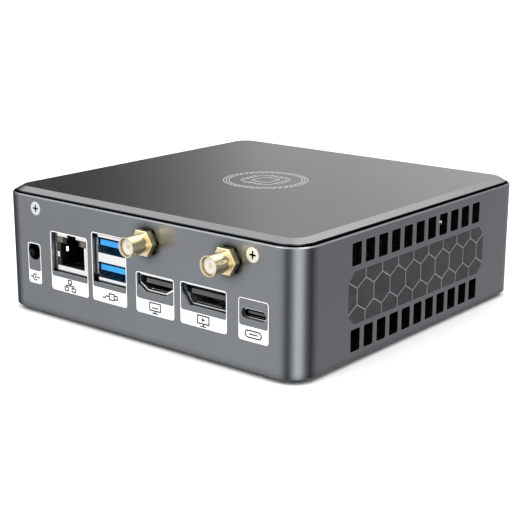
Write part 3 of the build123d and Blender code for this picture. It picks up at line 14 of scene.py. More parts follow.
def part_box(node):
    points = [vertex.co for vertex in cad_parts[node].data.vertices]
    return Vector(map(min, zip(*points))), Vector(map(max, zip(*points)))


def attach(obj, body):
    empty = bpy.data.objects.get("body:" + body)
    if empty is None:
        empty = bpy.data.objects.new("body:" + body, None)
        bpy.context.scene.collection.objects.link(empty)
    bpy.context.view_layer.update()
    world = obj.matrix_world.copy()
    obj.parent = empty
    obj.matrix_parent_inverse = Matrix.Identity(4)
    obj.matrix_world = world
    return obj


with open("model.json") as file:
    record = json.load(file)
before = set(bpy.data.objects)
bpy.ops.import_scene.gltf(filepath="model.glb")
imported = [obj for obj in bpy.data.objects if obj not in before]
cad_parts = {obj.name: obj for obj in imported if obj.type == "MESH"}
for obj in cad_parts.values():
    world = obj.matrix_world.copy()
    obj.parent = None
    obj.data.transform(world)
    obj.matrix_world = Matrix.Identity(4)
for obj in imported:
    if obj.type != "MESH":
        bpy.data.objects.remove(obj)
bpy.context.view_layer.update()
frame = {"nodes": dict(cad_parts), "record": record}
nodes = frame["nodes"]


def mm(value):
    """Millimetres to metres."""
    return value * 0.001


# ---------------------------------------------------------------- node tools


def start_material(name, color, roughness, metallic=0.0, specular=0.5):
    """New material with a Principled shader; returns the material, its tree and the shader."""
    material = bpy.data.materials.new(name)
    material.use_nodes = True
    shader = material.node_tree.nodes["Principled BSDF"]
    shader.inputs["Base Color"].default_value = (*color, 1.0)
    shader.inputs["Roughness"].default_value = roughness
    shader.inputs["Metallic"].default_value = metallic
    shader.inputs["Specular IOR Level"].default_value = specular
    return material, material.node_tree, shader


def add_node(tree, kind, settings=None, **values):
    """Node of this kind, with settings on the node and values on its inputs by name."""
    made = tree.nodes.new(kind)
    for key, value in (settings or {}).items():
        setattr(made, key, value)
    for key, value in values.items():
        made.inputs[key.replace("_", " ")].default_value = value
    return made


def object_place(tree):
    """Object coordinates, which are the frame's own metres on every piece."""
    return add_node(tree, "ShaderNodeTexCoord").outputs["Object"]


def noise(tree, size, detail=2.0, stretch=(1.0, 1.0, 1.0), roughness=0.5):
    """Noise whose features are about this size in metres; stretch squeezes it along an axis."""
    mapping = add_node(tree, "ShaderNodeMapping", Scale=stretch)
    tree.links.new(object_place(tree), mapping.inputs["Vector"])
    texture = add_node(tree, "ShaderNodeTexNoise", Scale=1.0 / size, Detail=detail, Roughness=roughness)
    tree.links.new(mapping.outputs["Vector"], texture.inputs["Vector"])
    return texture.outputs["Fac"]


def ramp(tree, factor, low, high, start=0.3, end=0.7):
    """Maps a 0 to 1 factor onto the range from low to high."""
    mapped = add_node(tree, "ShaderNodeMapRange", From_Min=start, From_Max=end, To_Min=low, To_Max=high)
    tree.links.new(factor, mapped.inputs["Value"])
    return mapped.outputs["Result"]


def mix_colors(tree, factor, first, second):
    """Color that goes from first to second as the factor goes from 0 to 1."""
    mixer = add_node(tree, "ShaderNodeMix", {"data_type": "RGBA"})
    tree.links.new(factor, mixer.inputs["Factor"])
    for socket, color in ((mixer.inputs[6], first), (mixer.inputs[7], second)):
        if isinstance(color, tuple):
            socket.default_value = (*color, 1.0)
        else:
            tree.links.new(color, socket)
    return mixer.outputs[2]


def add_bump(tree, shader, height, distance, strength=1.0):
    """Bump of this height in metres on the shader, after any bump already there."""
    bump = add_node(tree, "ShaderNodeBump", Strength=strength, Distance=distance)
    tree.links.new(height, bump.inputs["Height"])
    before = shader.inputs["Normal"].links
    if before:
        tree.links.new(before[0].from_socket, bump.inputs["Normal"])
    tree.links.new(bump.outputs["Normal"], shader.inputs["Normal"])


def edge_wear(tree, radius):
    """1 near sharp edges and 0 on the flats, from how far a bevelled normal leans from the true one."""
    bevel = add_node(tree, "ShaderNodeBevel", {"samples": 4}, Radius=radius)
    geometry = add_node(tree, "ShaderNodeNewGeometry")
    dot = add_node(tree, "ShaderNodeVectorMath", {"operation": "DOT_PRODUCT"})
    tree.links.new(bevel.outputs["Normal"], dot.inputs[0])
    tree.links.new(geometry.outputs["Normal"], dot.inputs[1])
    return ramp(tree, dot.outputs["Value"], 1.0, 0.0, 0.86, 0.995)


def add_value(tree, number):
    """Constant as a node output."""
    constant = add_node(tree, "ShaderNodeValue")
    constant.outputs[0].default_value = number
    return constant.outputs[0]


def scale_value(tree, value, factor):
    """Value times a factor."""
    scale = add_node(tree, "ShaderNodeMath", {"operation": "MULTIPLY"})
    tree.links.new(value, scale.inputs[0])
    tree.links.new(factor, scale.inputs[1])
    return scale.outputs[0]


def open_share(tree, reach, closed=0.06, start=0.45, end=0.95):
    """Mask for painted shade from ambient occlusion: 1 out in the open and the closed value deep in slots and
    corners narrower than the reach.
    """
    occlusion = add_node(tree, "ShaderNodeAmbientOcclusion", {"samples": 8}, Distance=reach)
    return ramp(tree, occlusion.outputs["AO"], closed, 1.0, start, end)


def shade_crevices(tree, color, factor):
    """Color darkened towards black with painted shade where the factor falls below 1."""
    return mix_colors(tree, factor, (0.0, 0.0, 0.0), color)


# ---------------------------------------------------------------- materials


def anodised(name, color, lighter, roughness):
    """Bead-blasted and anodised aluminium: fine grain, faint cloudiness, edges polished a little lighter,
    painted shade in cut-outs and next to the fittings.
    """
    material, tree, shader = start_material(name, color, roughness, 1.0)
    cloud = ramp(tree, noise(tree, mm(30), 3.0), 0.0, 1.0)
    body = mix_colors(tree, cloud, tuple(c * 0.97 for c in color), tuple(c * 1.03 for c in color))
    grain = noise(tree, mm(0.25), 2.0)
    speckled = mix_colors(tree, ramp(tree, grain, 0.0, 0.10), body, tuple(c * 1.2 for c in color))
    worn = mix_colors(tree, edge_wear(tree, mm(0.35)), speckled, lighter)
    # Painted shade: ambient occlusion darkens the colour and the reflection in cut-outs and round the
    # fittings, where their shadows fall.
    painted_crevice_shade = open_share(tree, mm(4), 0.14, 0.6, 0.95)
    tree.links.new(shade_crevices(tree, worn, painted_crevice_shade), shader.inputs["Base Color"])
    tree.links.new(painted_crevice_shade, shader.inputs["Specular IOR Level"])
    tree.links.new(ramp(tree, grain, roughness - 0.03, roughness + 0.04), shader.inputs["Roughness"])
    add_bump(tree, shader, grain, mm(0.002), 0.15)
    return material


def plated(name, color, roughness, tarnish, stretch=(1.0, 1.0, 1.0), reach=mm(3), closed=0.25, open_from=0.5):
    """Plated sheet or turned metal: soft streaks in the gloss, a faint tarnish, painted shade deep in the
    corners.
    """
    material, tree, shader = start_material(name, color, roughness, 1.0)
    stain = ramp(tree, noise(tree, mm(3.0), 4.0), 0.0, 0.5, 0.45, 0.75)
    stained = mix_colors(tree, stain, color, tarnish)
    # Painted shade: ambient occlusion darkens the colour in corners and recesses.
    painted_crevice_shade = open_share(tree, reach, closed, open_from - 0.35, open_from)
    tree.links.new(shade_crevices(tree, stained, painted_crevice_shade), shader.inputs["Base Color"])
    streak = noise(tree, mm(0.5), 3.0, stretch)
    tree.links.new(ramp(tree, streak, roughness * 0.75, roughness * 1.4), shader.inputs["Roughness"])
    add_bump(tree, shader, streak, mm(0.006), 0.25)
    return material


def moulded(name, color, roughness, texture_size=mm(0.18), depth=mm(0.008), specular=0.5, reach=mm(3)):
    """Moulded plastic: fine spark-eroded texture, slight flow clouds, and painted shade in slots and
    recesses.
    """
    material, tree, shader = start_material(name, color, roughness, 0.0, specular)
    flow = ramp(tree, noise(tree, mm(6.0), 3.0), 0.0, 1.0)
    darker = tuple(c * 0.85 for c in color)
    lighter = tuple(min(c * 1.12 + 0.004, 1.0) for c in color)
    # Painted shade: ambient occlusion darkens the colour and the reflection in slots and socket insides.
    painted_crevice_shade = open_share(tree, reach, 0.03, 0.35, 0.85)
    clouds = mix_colors(tree, flow, darker, lighter)
    tree.links.new(shade_crevices(tree, clouds, painted_crevice_shade), shader.inputs["Base Color"])
    level = scale_value(tree, painted_crevice_shade, add_value(tree, specular))
    tree.links.new(level, shader.inputs["Specular IOR Level"])
    texture = noise(tree, texture_size, 2.0)
    tree.links.new(ramp(tree, texture, roughness - 0.05, roughness + 0.08), shader.inputs["Roughness"])
    add_bump(tree, shader, texture, depth, 0.5)
    return material


def cast_rubber(name):
    """Rubber foot: dull, slightly dusty, with a fine cross-hatched tread."""
    material, tree, shader = start_material(name, (0.028, 0.028, 0.03), 0.8, 0.0, 0.3)
    dust = ramp(tree, noise(tree, mm(1.2), 5.0), 0.0, 0.35, 0.5, 0.8)
    dusty = mix_colors(tree, dust, (0.024, 0.024, 0.026), (0.09, 0.088, 0.085))
    tree.links.new(dusty, shader.inputs["Base Color"])
    wave_scale = 1.0 / mm(6.0)
    for axis in ("X", "Y"):
        settings = {"bands_direction": axis}
        wave = add_node(tree, "ShaderNodeTexWave", settings, Scale=wave_scale, Distortion=0.0)
        tree.links.new(object_place(tree), wave.inputs["Vector"])
        add_bump(tree, shader, wave.outputs["Fac"], mm(0.08), 0.4)
    return material


def board_laminate(name):
    """Circuit board: solder mask over faint copper tracks and pads."""
    material, tree, shader = start_material(name, (0.012, 0.05, 0.03), 0.35, 0.0, 0.5)
    bricks = add_node(tree, "ShaderNodeTexBrick", {"offset": 0.37}, Scale=1.0 / mm(9.0), Mortar_Size=0.035,
                      Brick_Width=0.9, Row_Height=0.23)
    tree.links.new(object_place(tree), bricks.inputs["Vector"])
    cells = add_node(tree, "ShaderNodeTexVoronoi", Scale=1.0 / mm(2.6), Randomness=1.0)
    tree.links.new(object_place(tree), cells.inputs["Vector"])
    pad = ramp(tree, cells.outputs["Distance"], 1.0, 0.0, 0.12, 0.16)
    tracks = mix_colors(tree, bricks.outputs["Fac"], (0.010, 0.045, 0.028), (0.022, 0.085, 0.05))
    tree.links.new(mix_colors(tree, pad, tracks, (0.55, 0.50, 0.38)), shader.inputs["Base Color"])
    tree.links.new(ramp(tree, pad, 0.38, 0.22, 0.0, 1.0), shader.inputs["Roughness"])
    add_bump(tree, shader, bricks.outputs["Fac"], mm(0.03), 0.5)
    return material


def clear_plastic(name):
    """Light pipe: clear acrylic, a little hazy inside."""
    material, tree, shader = start_material(name, (0.93, 0.95, 0.96), 0.18)
    shader.inputs["Transmission Weight"].default_value = 0.85
    shader.inputs["IOR"].default_value = 1.49
    tree.links.new(ramp(tree, noise(tree, mm(0.4), 2.0), 0.14, 0.28), shader.inputs["Roughness"])
    return material


def printed_ink(name, color, roughness=0.5):
    """Screen-printed ink: slight dot gain in tone and a dry, finely pitted surface."""
    material, tree, shader = start_material(name, color, roughness, 0.0, 0.35)
    dots = noise(tree, mm(0.12), 2.0)
    darker = tuple(c * 0.94 for c in color)
    tree.links.new(mix_colors(tree, ramp(tree, dots, 0.0, 1.0), darker, color), shader.inputs["Base Color"])
    add_bump(tree, shader, dots, mm(0.004), 0.4)
    return material


case_metal = anodised("case anodised", (0.232, 0.246, 0.260), (0.42, 0.43, 0.44), 0.27)
lid_metal = anodised("lid anodised", (0.225, 0.226, 0.232), (0.42, 0.42, 0.43), 0.21)
inlay_paint = moulded("inlay paint", (0.026, 0.027, 0.030), 0.45, specular=0.42)
# The screws' painted shade is nearly black, in their cross recesses.
bright_screw = plated("nickel screw", (0.97, 0.97, 0.97), 0.36, (0.90, 0.90, 0.90), reach=mm(1.2),
                      closed=0.01, open_from=0.95)
dark_screw = plated("black oxide screw", (0.045, 0.045, 0.048), 0.42, (0.09, 0.08, 0.07))
nickel = plated("nickel plate", (0.96, 0.96, 0.96), 0.20, (0.92, 0.92, 0.91), (1.0, 1.0, 0.3))
gold = plated("gold plate", (0.82, 0.70, 0.45), 0.13, (0.70, 0.56, 0.32), reach=mm(2))
aluminium = plated("extruded aluminium", (0.72, 0.73, 0.74), 0.38, (0.55, 0.56, 0.57), (0.15, 1.0, 1.0))
rubber = cast_rubber("foot rubber")
# Long reach: painted shade blackens the whole inside of the sockets.
black_plastic = moulded("black plastic", (0.018, 0.018, 0.020), 0.45, reach=mm(12))
# Lighter grey copy of the black plastic with a short shade reach: painted light on the sockets' tongues.
lit_tongue_plastic = moulded("lit tongue plastic", (0.07, 0.07, 0.075), 0.28, reach=mm(1.5))
blue_plastic = moulded("blue plastic", (0.012, 0.30, 0.78), 0.26, reach=mm(2))
white_plastic = moulded("white insulator", (0.66, 0.62, 0.55), 0.42, reach=mm(1))
chip_plastic = moulded("chip package", (0.035, 0.035, 0.038), 0.5)
lead_plastic = moulded("lead jacket", (0.022, 0.022, 0.024), 0.38, mm(0.3), mm(0.01))
lamp_plastic = moulded("lamp lens", (0.12, 0.10, 0.08), 0.25)
laminate = board_laminate("circuit board")
pipe_plastic = clear_plastic("light pipe")
white_ink = printed_ink("white ink", (0.90, 0.90, 0.90))
grey_ink = printed_ink("grey ink", (0.035, 0.035, 0.04))
emblem_ink = printed_ink("emblem ink", (0.62, 0.62, 0.62))
honeycomb_paint = moulded("honeycomb paint", (0.19, 0.195, 0.205), 0.4)

SLOT_MATERIALS = {
    "anodised_case": case_metal,
    "anodised_lid": lid_metal,
    "dark_inlay": inlay_paint,
    "bright_screws": bright_screw,
    "black_screws": dark_screw,
    "nickel_plate": nickel,
    "gold_plate": gold,
    "bare_aluminium": aluminium,
    "black_rubber": rubber,
    "black_plastic": black_plastic,
    "blue_plastic": blue_plastic,
    "white_insulator": white_plastic,
    "chip_package": chip_plastic,
    "lead_jacket": lead_plastic,
    "lamp_lens": lamp_plastic,
    "board_laminate": laminate,
    "clear_plastic": pipe_plastic,
}
for entry in frame["record"]["subparts"]:
    piece = nodes[entry["node"]]
    piece.data.materials.clear()
    piece.data.materials.append(SLOT_MATERIALS[entry["material_slot"]])
# The sockets' tongues take the lighter copy of the black plastic, painted light.
for name in ("video_a_tongue", "video_b_tongue", "usb_c_tongue"):
    nodes[name].data.materials[0] = lit_tongue_plastic

# ---------------------------------------------------------------- studio

# The camera's place is given from the middle of the case at the base cover's underside.
CAMERA_PLACE = (0.2609, -0.3227, 0.1254)
CAMERA_AZIMUTH = 39.17
CAMERA_ELEVATION = 15.24
CAMERA_ROLL = 0.19
CAMERA_LENS = 83.68
SENSOR_WIDTH = 36.0


def aim_back(azimuth, elevation):
    """Unit vector from the object towards a viewer at this azimuth and elevation, in degrees."""
    a, e = math.radians(azimuth), math.radians(elevation)
    return Vector((math.sin(a) * math.cos(e), -math.cos(a) * math.cos(e), math.sin(e)))


camera_data = bpy.data.cameras.new("camera")
camera_data.lens = CAMERA_LENS
camera_data.sensor_width = SENSOR_WIDTH
camera_data.clip_start = 0.01
camera_data.clip_end = 20.0
camera = bpy.data.objects.new("camera", camera_data)
bpy.context.scene.collection.objects.link(camera)
camera.location = CAMERA_PLACE
camera.rotation_mode = "QUATERNION"
back = aim_back(CAMERA_AZIMUTH, CAMERA_ELEVATION)
camera.rotation_quaternion = back.to_track_quat("Z", "Y") @ Quaternion((0, 0, 1), math.radians(CAMERA_ROLL))
bpy.context.scene.camera = camera


def area_light(name, azimuth, elevation, distance, size, power, height=None):
    """Softbox on a sphere round the object, aimed at it."""
    data = bpy.data.lights.new(name, "AREA")
    data.shape = "RECTANGLE"
    data.size = size
    data.size_y = height or size
    data.energy = power
    light = bpy.data.objects.new(name, data)
    bpy.context.scene.collection.objects.link(light)
    towards = aim_back(azimuth, elevation)
    light.location = towards * distance + Vector((0, 0, 0.02))
    light.rotation_mode = "QUATERNION"
    light.rotation_quaternion = towards.to_track_quat("Z", "Y")
    return light


# Brightness of the surroundings by compass angle, in degrees from +X towards +Y, in three bands.
# Below the horizon: the panel mirrors about -129, the rounded corner -129 to 51, the side wall 51.
LOW_TONES = (
    (-180, 0.12), (-160, 0.25), (-145, 0.85), (-129, 1.06), (-98, 0.92), (-78, 0.03), (-62, 0.30),
    (-40, 2.0), (-24, 1.9), (-4, 0.36), (18, 0.02), (34, 0.30), (52, 0.56), (80, 0.50), (110, 0.30),
    (130, 0.12), (180, 0.12),
)
# Just above the horizon: the lid mirrors 118 to 140.
HIGH_TONES = (
    (-180, 0.40), (-170, 0.50), (-130, 0.90), (-100, 1.0), (-60, 1.2), (-30, 1.2), (0, 0.40),
    (20, 0.12), (70, 0.15), (85, 0.60), (99, 0.90), (110, 0.84), (119, 0.76), (126, 0.60), (129, 0.63),
    (131, 0.40), (133, 0.25), (137, 0.08), (142, 0.06), (160, 0.20), (180, 0.40),
)
# Broad softboxes overhead.
OVERHEAD_TONES = (
    (-180, 1.9), (-120, 1.7), (-40, 1.7), (60, 1.3), (92, 2.1), (112, 2.0), (150, 1.55), (180, 1.6),
)
DOWNWARD_TONE = 0.8
# Each band gives way to the next between these two heights of the looking direction, from -1 down to 1 up.
DOWNWARD_BLEND = (-0.75, -0.45)
HORIZON_BLEND = (-0.10, 0.05)
OVERHEAD_BLEND = (0.42, 0.62)


def tone_ramp(tree, turn, tones):
    """Color ramp round the compass; turn runs from 0 at -180 degrees to 1 at +180."""
    node = add_node(tree, "ShaderNodeValToRGB")
    brightest = max(tone for angle, tone in tones)
    elements = node.color_ramp.elements
    while len(elements) > 1:
        elements.remove(elements[0])
    for index, (angle, tone) in enumerate(tones):
        position = (angle + 180) / 360
        element = elements[0] if index == 0 else elements.new(position)
        element.position = position
        element.color = (tone / brightest, tone / brightest, tone / brightest, 1.0)
    tree.links.new(turn, node.inputs["Fac"])
    scale = add_node(tree, "ShaderNodeMath", {"operation": "MULTIPLY"})
    scale.inputs[1].default_value = brightest
    tree.links.new(node.outputs["Color"], scale.inputs[0])
    return scale.outputs[0]


def mix_values(tree, factor, first, second):
    """Value that goes from first to second as the factor goes from 0 to 1."""
    mixer = add_node(tree, "ShaderNodeMix", {"data_type": "FLOAT"})
    tree.links.new(factor, mixer.inputs["Factor"])
    for socket, value in ((mixer.inputs[2], first), (mixer.inputs[3], second)):
        if isinstance(value, float):
            socket.default_value = value
        else:
            tree.links.new(value, socket)
    return mixer.outputs[0]


def studio_world():
    """Surroundings of white and grey screens: two bands at the horizon and broad softboxes overhead."""
    world = bpy.data.worlds.new("studio")
    world.use_nodes = True
    tree = world.node_tree
    background = tree.nodes["Background"]
    background.inputs["Color"].default_value = (1.0, 1.0, 1.0, 1.0)
    direction = add_node(tree, "ShaderNodeTexCoord").outputs["Generated"]
    split = add_node(tree, "ShaderNodeSeparateXYZ")
    tree.links.new(direction, split.inputs[0])
    angle = add_node(tree, "ShaderNodeMath", {"operation": "ARCTAN2"})
    tree.links.new(split.outputs["Y"], angle.inputs[0])
    tree.links.new(split.outputs["X"], angle.inputs[1])
    turn = ramp(tree, angle.outputs[0], 0.0, 1.0, -math.pi, math.pi)
    low = tone_ramp(tree, turn, LOW_TONES)
    high = tone_ramp(tree, turn, HIGH_TONES)
    overhead = tone_ramp(tree, turn, OVERHEAD_TONES)
    crossing = ramp(tree, split.outputs["Z"], 0.0, 1.0, *HORIZON_BLEND)
    rising = ramp(tree, split.outputs["Z"], 0.0, 1.0, *OVERHEAD_BLEND)
    falling = ramp(tree, split.outputs["Z"], 1.0, 0.0, *DOWNWARD_BLEND)
    above = mix_values(tree, rising, mix_values(tree, crossing, low, high), overhead)
    tree.links.new(mix_values(tree, falling, above, DOWNWARD_TONE), background.inputs["Strength"])
    bpy.context.scene.world = world


FLOOR_HALF = 6.0


def pale_floor():
    """Wide pale floor under the rubber feet."""
    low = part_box("rubber_feet")[0].z
    corners = [(x * FLOOR_HALF, y * FLOOR_HALF, low) for x, y in ((-1, -1), (1, -1), (1, 1), (-1, 1))]
    mesh = bpy.data.meshes.new("floor")
    mesh.from_pydata(corners, [], [(0, 1, 2, 3)])
    floor = bpy.data.objects.new("floor", mesh)
    bpy.context.scene.collection.objects.link(floor)
    material, tree, shader = start_material("floor paper", (0.93, 0.93, 0.93), 0.8, 0.0, 0.2)
    fibre = ramp(tree, noise(tree, mm(60), 3.0), 0.0, 1.0)
    paper = mix_colors(tree, fibre, (0.925, 0.925, 0.925), (0.94, 0.94, 0.94))
    tree.links.new(paper, shader.inputs["Base Color"])
    floor.data.materials.append(material)
    floor.visible_glossy = False


studio_world()
pale_floor()
area_light("key", -25, 48, 1.4, 0.6, 5)
area_light("fill", 95, 55, 1.4, 0.8, 5)

# ---------------------------------------------------------------- printed and fitted pieces

rear_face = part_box("body_frame")[0].y
lid_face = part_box("top_cover")[1].z
INK = mm(0.06)
SUNK = mm(0.05)


def make_piece(name, material, shape):
    """Object from a bmesh, fixed to the case."""
    bmesh.ops.recalc_face_normals(shape, faces=shape.faces)
    mesh = bpy.data.meshes.new(name)
    shape.to_mesh(mesh)
    shape.free()
    piece = bpy.data.objects.new(name, mesh)
    bpy.context.scene.collection.objects.link(piece)
    piece.data.materials.append(material)
    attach(piece, "case")
    return piece


def on_panel(u, v, lift):
    """Place on the connector panel, lifted off it; u runs along +X and v along +Z, in millimetres."""
    return (mm(u), rear_face - lift, mm(v))


def on_lid(u, v, lift):
    """Place on the lid, lifted off it; u runs along +X and v along +Y, in millimetres."""
    return (mm(u), mm(v), lid_face + lift)


def add_ring(shape, place, outer, inner):
    """Flat closed band between two loops of equal length."""
    count = len(outer)
    rows = []
    for loop in (outer, inner):
        for lift in (-SUNK, INK):
            rows.append([shape.verts.new(place(u, v, lift)) for u, v in loop])
    outer_low, outer_high, inner_low, inner_high = rows
    for i in range(count):
        j = (i + 1) % count
        shape.faces.new((outer_high[i], outer_high[j], inner_high[j], inner_high[i]))
        shape.faces.new((outer_low[j], outer_low[i], inner_low[i], inner_low[j]))
        shape.faces.new((outer_low[i], outer_low[j], outer_high[j], outer_high[i]))
        shape.faces.new((inner_low[j], inner_low[i], inner_high[i], inner_high[j]))


def add_plate(shape, place, loop):
    """Flat closed plate inside one loop."""
    low = [shape.verts.new(place(u, v, -SUNK)) for u, v in loop]
    high = [shape.verts.new(place(u, v, INK)) for u, v in loop]
    shape.faces.new(high)
    shape.faces.new(low[::-1])
    for i in range(len(loop)):
        j = (i + 1) % len(loop)
        shape.faces.new((low[i], low[j], high[j], high[i]))


def add_stroke(shape, place, points, width, closed=False):
    """Flat closed line of one width through the points, with mitred corners."""
    count = len(points)
    left, right = [], []
    for i, point in enumerate(points):
        before = Vector(points[i - 1]) if closed or i else Vector(point)
        after = Vector(points[(i + 1) % count]) if closed or i < count - 1 else Vector(point)
        here = Vector(point)
        arrive = (here - before).normalized() if (here - before).length > 0 else (after - here).normalized()
        leave = (after - here).normalized() if (after - here).length > 0 else arrive
        along = (arrive + leave).normalized()
        side = Vector((-along.y, along.x)) * (width / 2 / max(along.dot(leave), 0.3))
        left.append(tuple(here + side))
        right.append(tuple(here - side))
    if closed:
        add_ring(shape, place, left, right)
    else:
        add_plate(shape, place, left + right[::-1])


def arc(centre, radius, start, end, steps):
    """Points along a circle's arc, in degrees."""
    points = []
    for step in range(steps + 1):
        angle = math.radians(start + (end - start) * step / steps)
        points.append((centre[0] + radius * math.cos(angle), centre[1] + radius * math.sin(angle)))
    return points


def circle(centre, radius, steps=24):
    """Points round a full circle."""
    return arc(centre, radius, 0, 360, steps)[:-1]


def rounded_box(left, right, low, high, radius):
    """Loop of a rectangle with round corners."""
    loop = []
    for u, v, start in ((right - radius, high - radius, 0), (left + radius, high - radius, 90),
                        (left + radius, low + radius, 180), (right - radius, low + radius, 270)):
        loop += arc((u, v), radius, start, start + 90, 6)
    return loop


def square_box(left, right, low, high):
    """Loop of a rectangle with sharp corners."""
    return [(left, low), (right, low), (right, high), (left, high)]


# Labels under the sockets: left, right, low and high edges of each, in millimetres on the panel.
LABEL_BOXES = {
    "power": (-51.7, -45.3, 9.5, 23.6),
    "network": (-40.1, -22.35, 9.2, 29.3),
    "data": (-20.25, -4.6, 9.3, 32.1),
    "screen_a": (-0.4, 15.9, 9.35, 22.55),
    "screen_b": (18.5, 37.2, 9.5, 22.85),
    "small": (41.7, 53.05, 9.4, 22.4),
}
LABEL_STRIP_TOP = 13.95
LABEL_LINE = 0.25
LABEL_CORNER = 1.0
PICTOGRAM_LINE = 0.42
PICTOGRAM_MIDDLE = 11.7

labels = bmesh.new()
for left, right, low, high in LABEL_BOXES.values():
    window = rounded_box(left + LABEL_LINE, right - LABEL_LINE, LABEL_STRIP_TOP, high - LABEL_LINE,
                         LABEL_CORNER - LABEL_LINE)
    add_ring(labels, on_panel, rounded_box(left, right, low, high, LABEL_CORNER), window)
make_piece("socket_labels", white_ink, labels)


def on_label(u, v, lift):
    """Place on a label's ink, one ink layer higher than the panel."""
    return on_panel(u, v, lift + INK)


def draw_power(shape, x, z):
    """Round plug seen from the side: a split ring, a middle dot and two short leads."""
    add_stroke(shape, on_label, arc((x, z), 1.1, 40, 320, 20), PICTOGRAM_LINE)
    add_plate(shape, on_label, circle((x, z), 0.42))
    add_stroke(shape, on_label, [(x - 2.4, z), (x - 1.2, z)], PICTOGRAM_LINE)
    add_stroke(shape, on_label, [(x + 0.6, z), (x + 2.3, z)], PICTOGRAM_LINE)


def draw_network(shape, x, z):
    """Three linked boxes."""
    for u, v in ((x, z + 1.25), (x - 1.7, z - 1.25), (x + 1.7, z - 1.25)):
        outline = square_box(u - 0.8, u + 0.8, v - 0.6, v + 0.6)
        add_stroke(shape, on_label, outline, PICTOGRAM_LINE, closed=True)
    add_stroke(shape, on_label, [(x, z + 0.5), (x, z + 0.14)], PICTOGRAM_LINE)
    branches = [(x - 1.7, z - 0.5), (x - 1.7, z), (x + 1.7, z), (x + 1.7, z - 0.5)]
    add_stroke(shape, on_label, branches, PICTOGRAM_LINE)


def draw_data(shape, x, z):
    """Plug on a short lead."""
    add_stroke(shape, on_label, square_box(x - 0.2, x + 2.0, z - 1.0, z + 1.0), PICTOGRAM_LINE, closed=True)
    add_stroke(shape, on_label, square_box(x + 2.2, x + 3.4, z - 0.6, z + 0.6), PICTOGRAM_LINE)
    lead = [(x - 0.4, z), (x - 1.6, z), (x - 2.2, z - 0.7), (x - 3.4, z - 0.7)]
    add_stroke(shape, on_label, lead, PICTOGRAM_LINE)


def draw_screen(shape, x, z, mark):
    """Flat screen on a foot, with a bar or a triangle in it to tell the two apart."""
    add_stroke(shape, on_label, square_box(x - 2.3, x + 2.3, z - 0.8, z + 1.7), PICTOGRAM_LINE, closed=True)
    add_stroke(shape, on_label, [(x, z - 0.96), (x, z - 1.5)], PICTOGRAM_LINE)
    add_stroke(shape, on_label, [(x - 1.2, z - 1.66), (x + 1.2, z - 1.66)], PICTOGRAM_LINE)
    if mark == "bar":
        add_stroke(shape, on_label, [(x - 1.3, z + 0.1), (x + 1.3, z + 0.1)], PICTOGRAM_LINE)
    else:
        add_plate(shape, on_label, [(x - 0.6, z - 0.25), (x + 0.75, z + 0.45), (x - 0.6, z + 1.15)])


def draw_small(shape, x, z):
    """Rounded slot with a bar inside."""
    loop = arc((x + 2.0, z), 1.05, -90, 90, 10) + arc((x - 2.0, z), 1.05, 90, 270, 10)
    add_stroke(shape, on_label, loop, PICTOGRAM_LINE, closed=True)
    add_stroke(shape, on_label, [(x - 1.6, z), (x + 1.6, z)], PICTOGRAM_LINE)


def label_middle(name):
    """Middle of a label from left to right."""
    return (LABEL_BOXES[name][0] + LABEL_BOXES[name][1]) / 2


pictograms = bmesh.new()
draw_power(pictograms, label_middle("power"), PICTOGRAM_MIDDLE)
draw_network(pictograms, label_middle("network"), PICTOGRAM_MIDDLE)
draw_data(pictograms, label_middle("data"), PICTOGRAM_MIDDLE)
draw_screen(pictograms, label_middle("screen_a"), PICTOGRAM_MIDDLE, "bar")
draw_screen(pictograms, label_middle("screen_b"), PICTOGRAM_MIDDLE, "triangle")
draw_small(pictograms, label_middle("small"), PICTOGRAM_MIDDLE)
make_piece("socket_pictograms", grey_ink, pictograms)

# Emblem in the middle of the lid: three rings of dashes round a plain chip outline.
EMBLEM_RINGS = (14.7, 13.75, 12.8)
EMBLEM_LINE = 0.24
EMBLEM_DASHES = 40
EMBLEM_DASH_SHARE = 0.72
DASH_STEPS = 5
CHIP_HALF = 6.4
CHIP_CORE_HALF = 3.6
CHIP_PINS = 4
CHIP_PIN_PITCH = 2.0
CHIP_PIN_LENGTH = 2.0
emblem = bmesh.new()
dash_step = 360 / EMBLEM_DASHES
for ring_index, ring_radius in enumerate(EMBLEM_RINGS):
    for dash in range(EMBLEM_DASHES):
        dash_start = dash * dash_step + ring_index * dash_step / 3
        dash_end = dash_start + dash_step * EMBLEM_DASH_SHARE
        add_stroke(emblem, on_lid, arc((0, 0), ring_radius, dash_start, dash_end, DASH_STEPS), EMBLEM_LINE)
chip_loop = rounded_box(-CHIP_HALF, CHIP_HALF, -CHIP_HALF, CHIP_HALF, 1.0)
add_stroke(emblem, on_lid, chip_loop, EMBLEM_LINE, closed=True)
core_loop = rounded_box(-CHIP_CORE_HALF, CHIP_CORE_HALF, -CHIP_CORE_HALF, CHIP_CORE_HALF, 0.6)
add_stroke(emblem, on_lid, core_loop, EMBLEM_LINE, closed=True)
for pin in range(CHIP_PINS):
    offset = (pin - (CHIP_PINS - 1) / 2) * CHIP_PIN_PITCH
    for sign in (-1, 1):
        near, far = sign * (CHIP_HALF + EMBLEM_LINE / 2), sign * (CHIP_HALF + CHIP_PIN_LENGTH)
        add_stroke(emblem, on_lid, [(offset, near), (offset, far)], EMBLEM_LINE)
        add_stroke(emblem, on_lid, [(near, offset), (far, offset)], EMBLEM_LINE)
make_piece("lid_emblem", emblem_ink, emblem)

# Honeycomb lines on both inlays: hexagon rings that share their outer edges, cut at the inlay's outline.
CELL_WIDTH = 8.88
CELL_SIDE = 5.13
CELL_LINE = 0.36
CELL_MIDDLE = 19.95
INLAY_CUT_HEIGHT = 3.0
INLAY_CUT_LENGTH = 3.3
INLAY_RAISED = mm(0.03)


def hexagon(y, z, side):
    """Loop of a hexagon that stands on a corner."""
    turns = [math.radians(60 * k) for k in range(6)]
    return [(y + side * math.sin(turn), z + side * math.cos(turn)) for turn in turns]


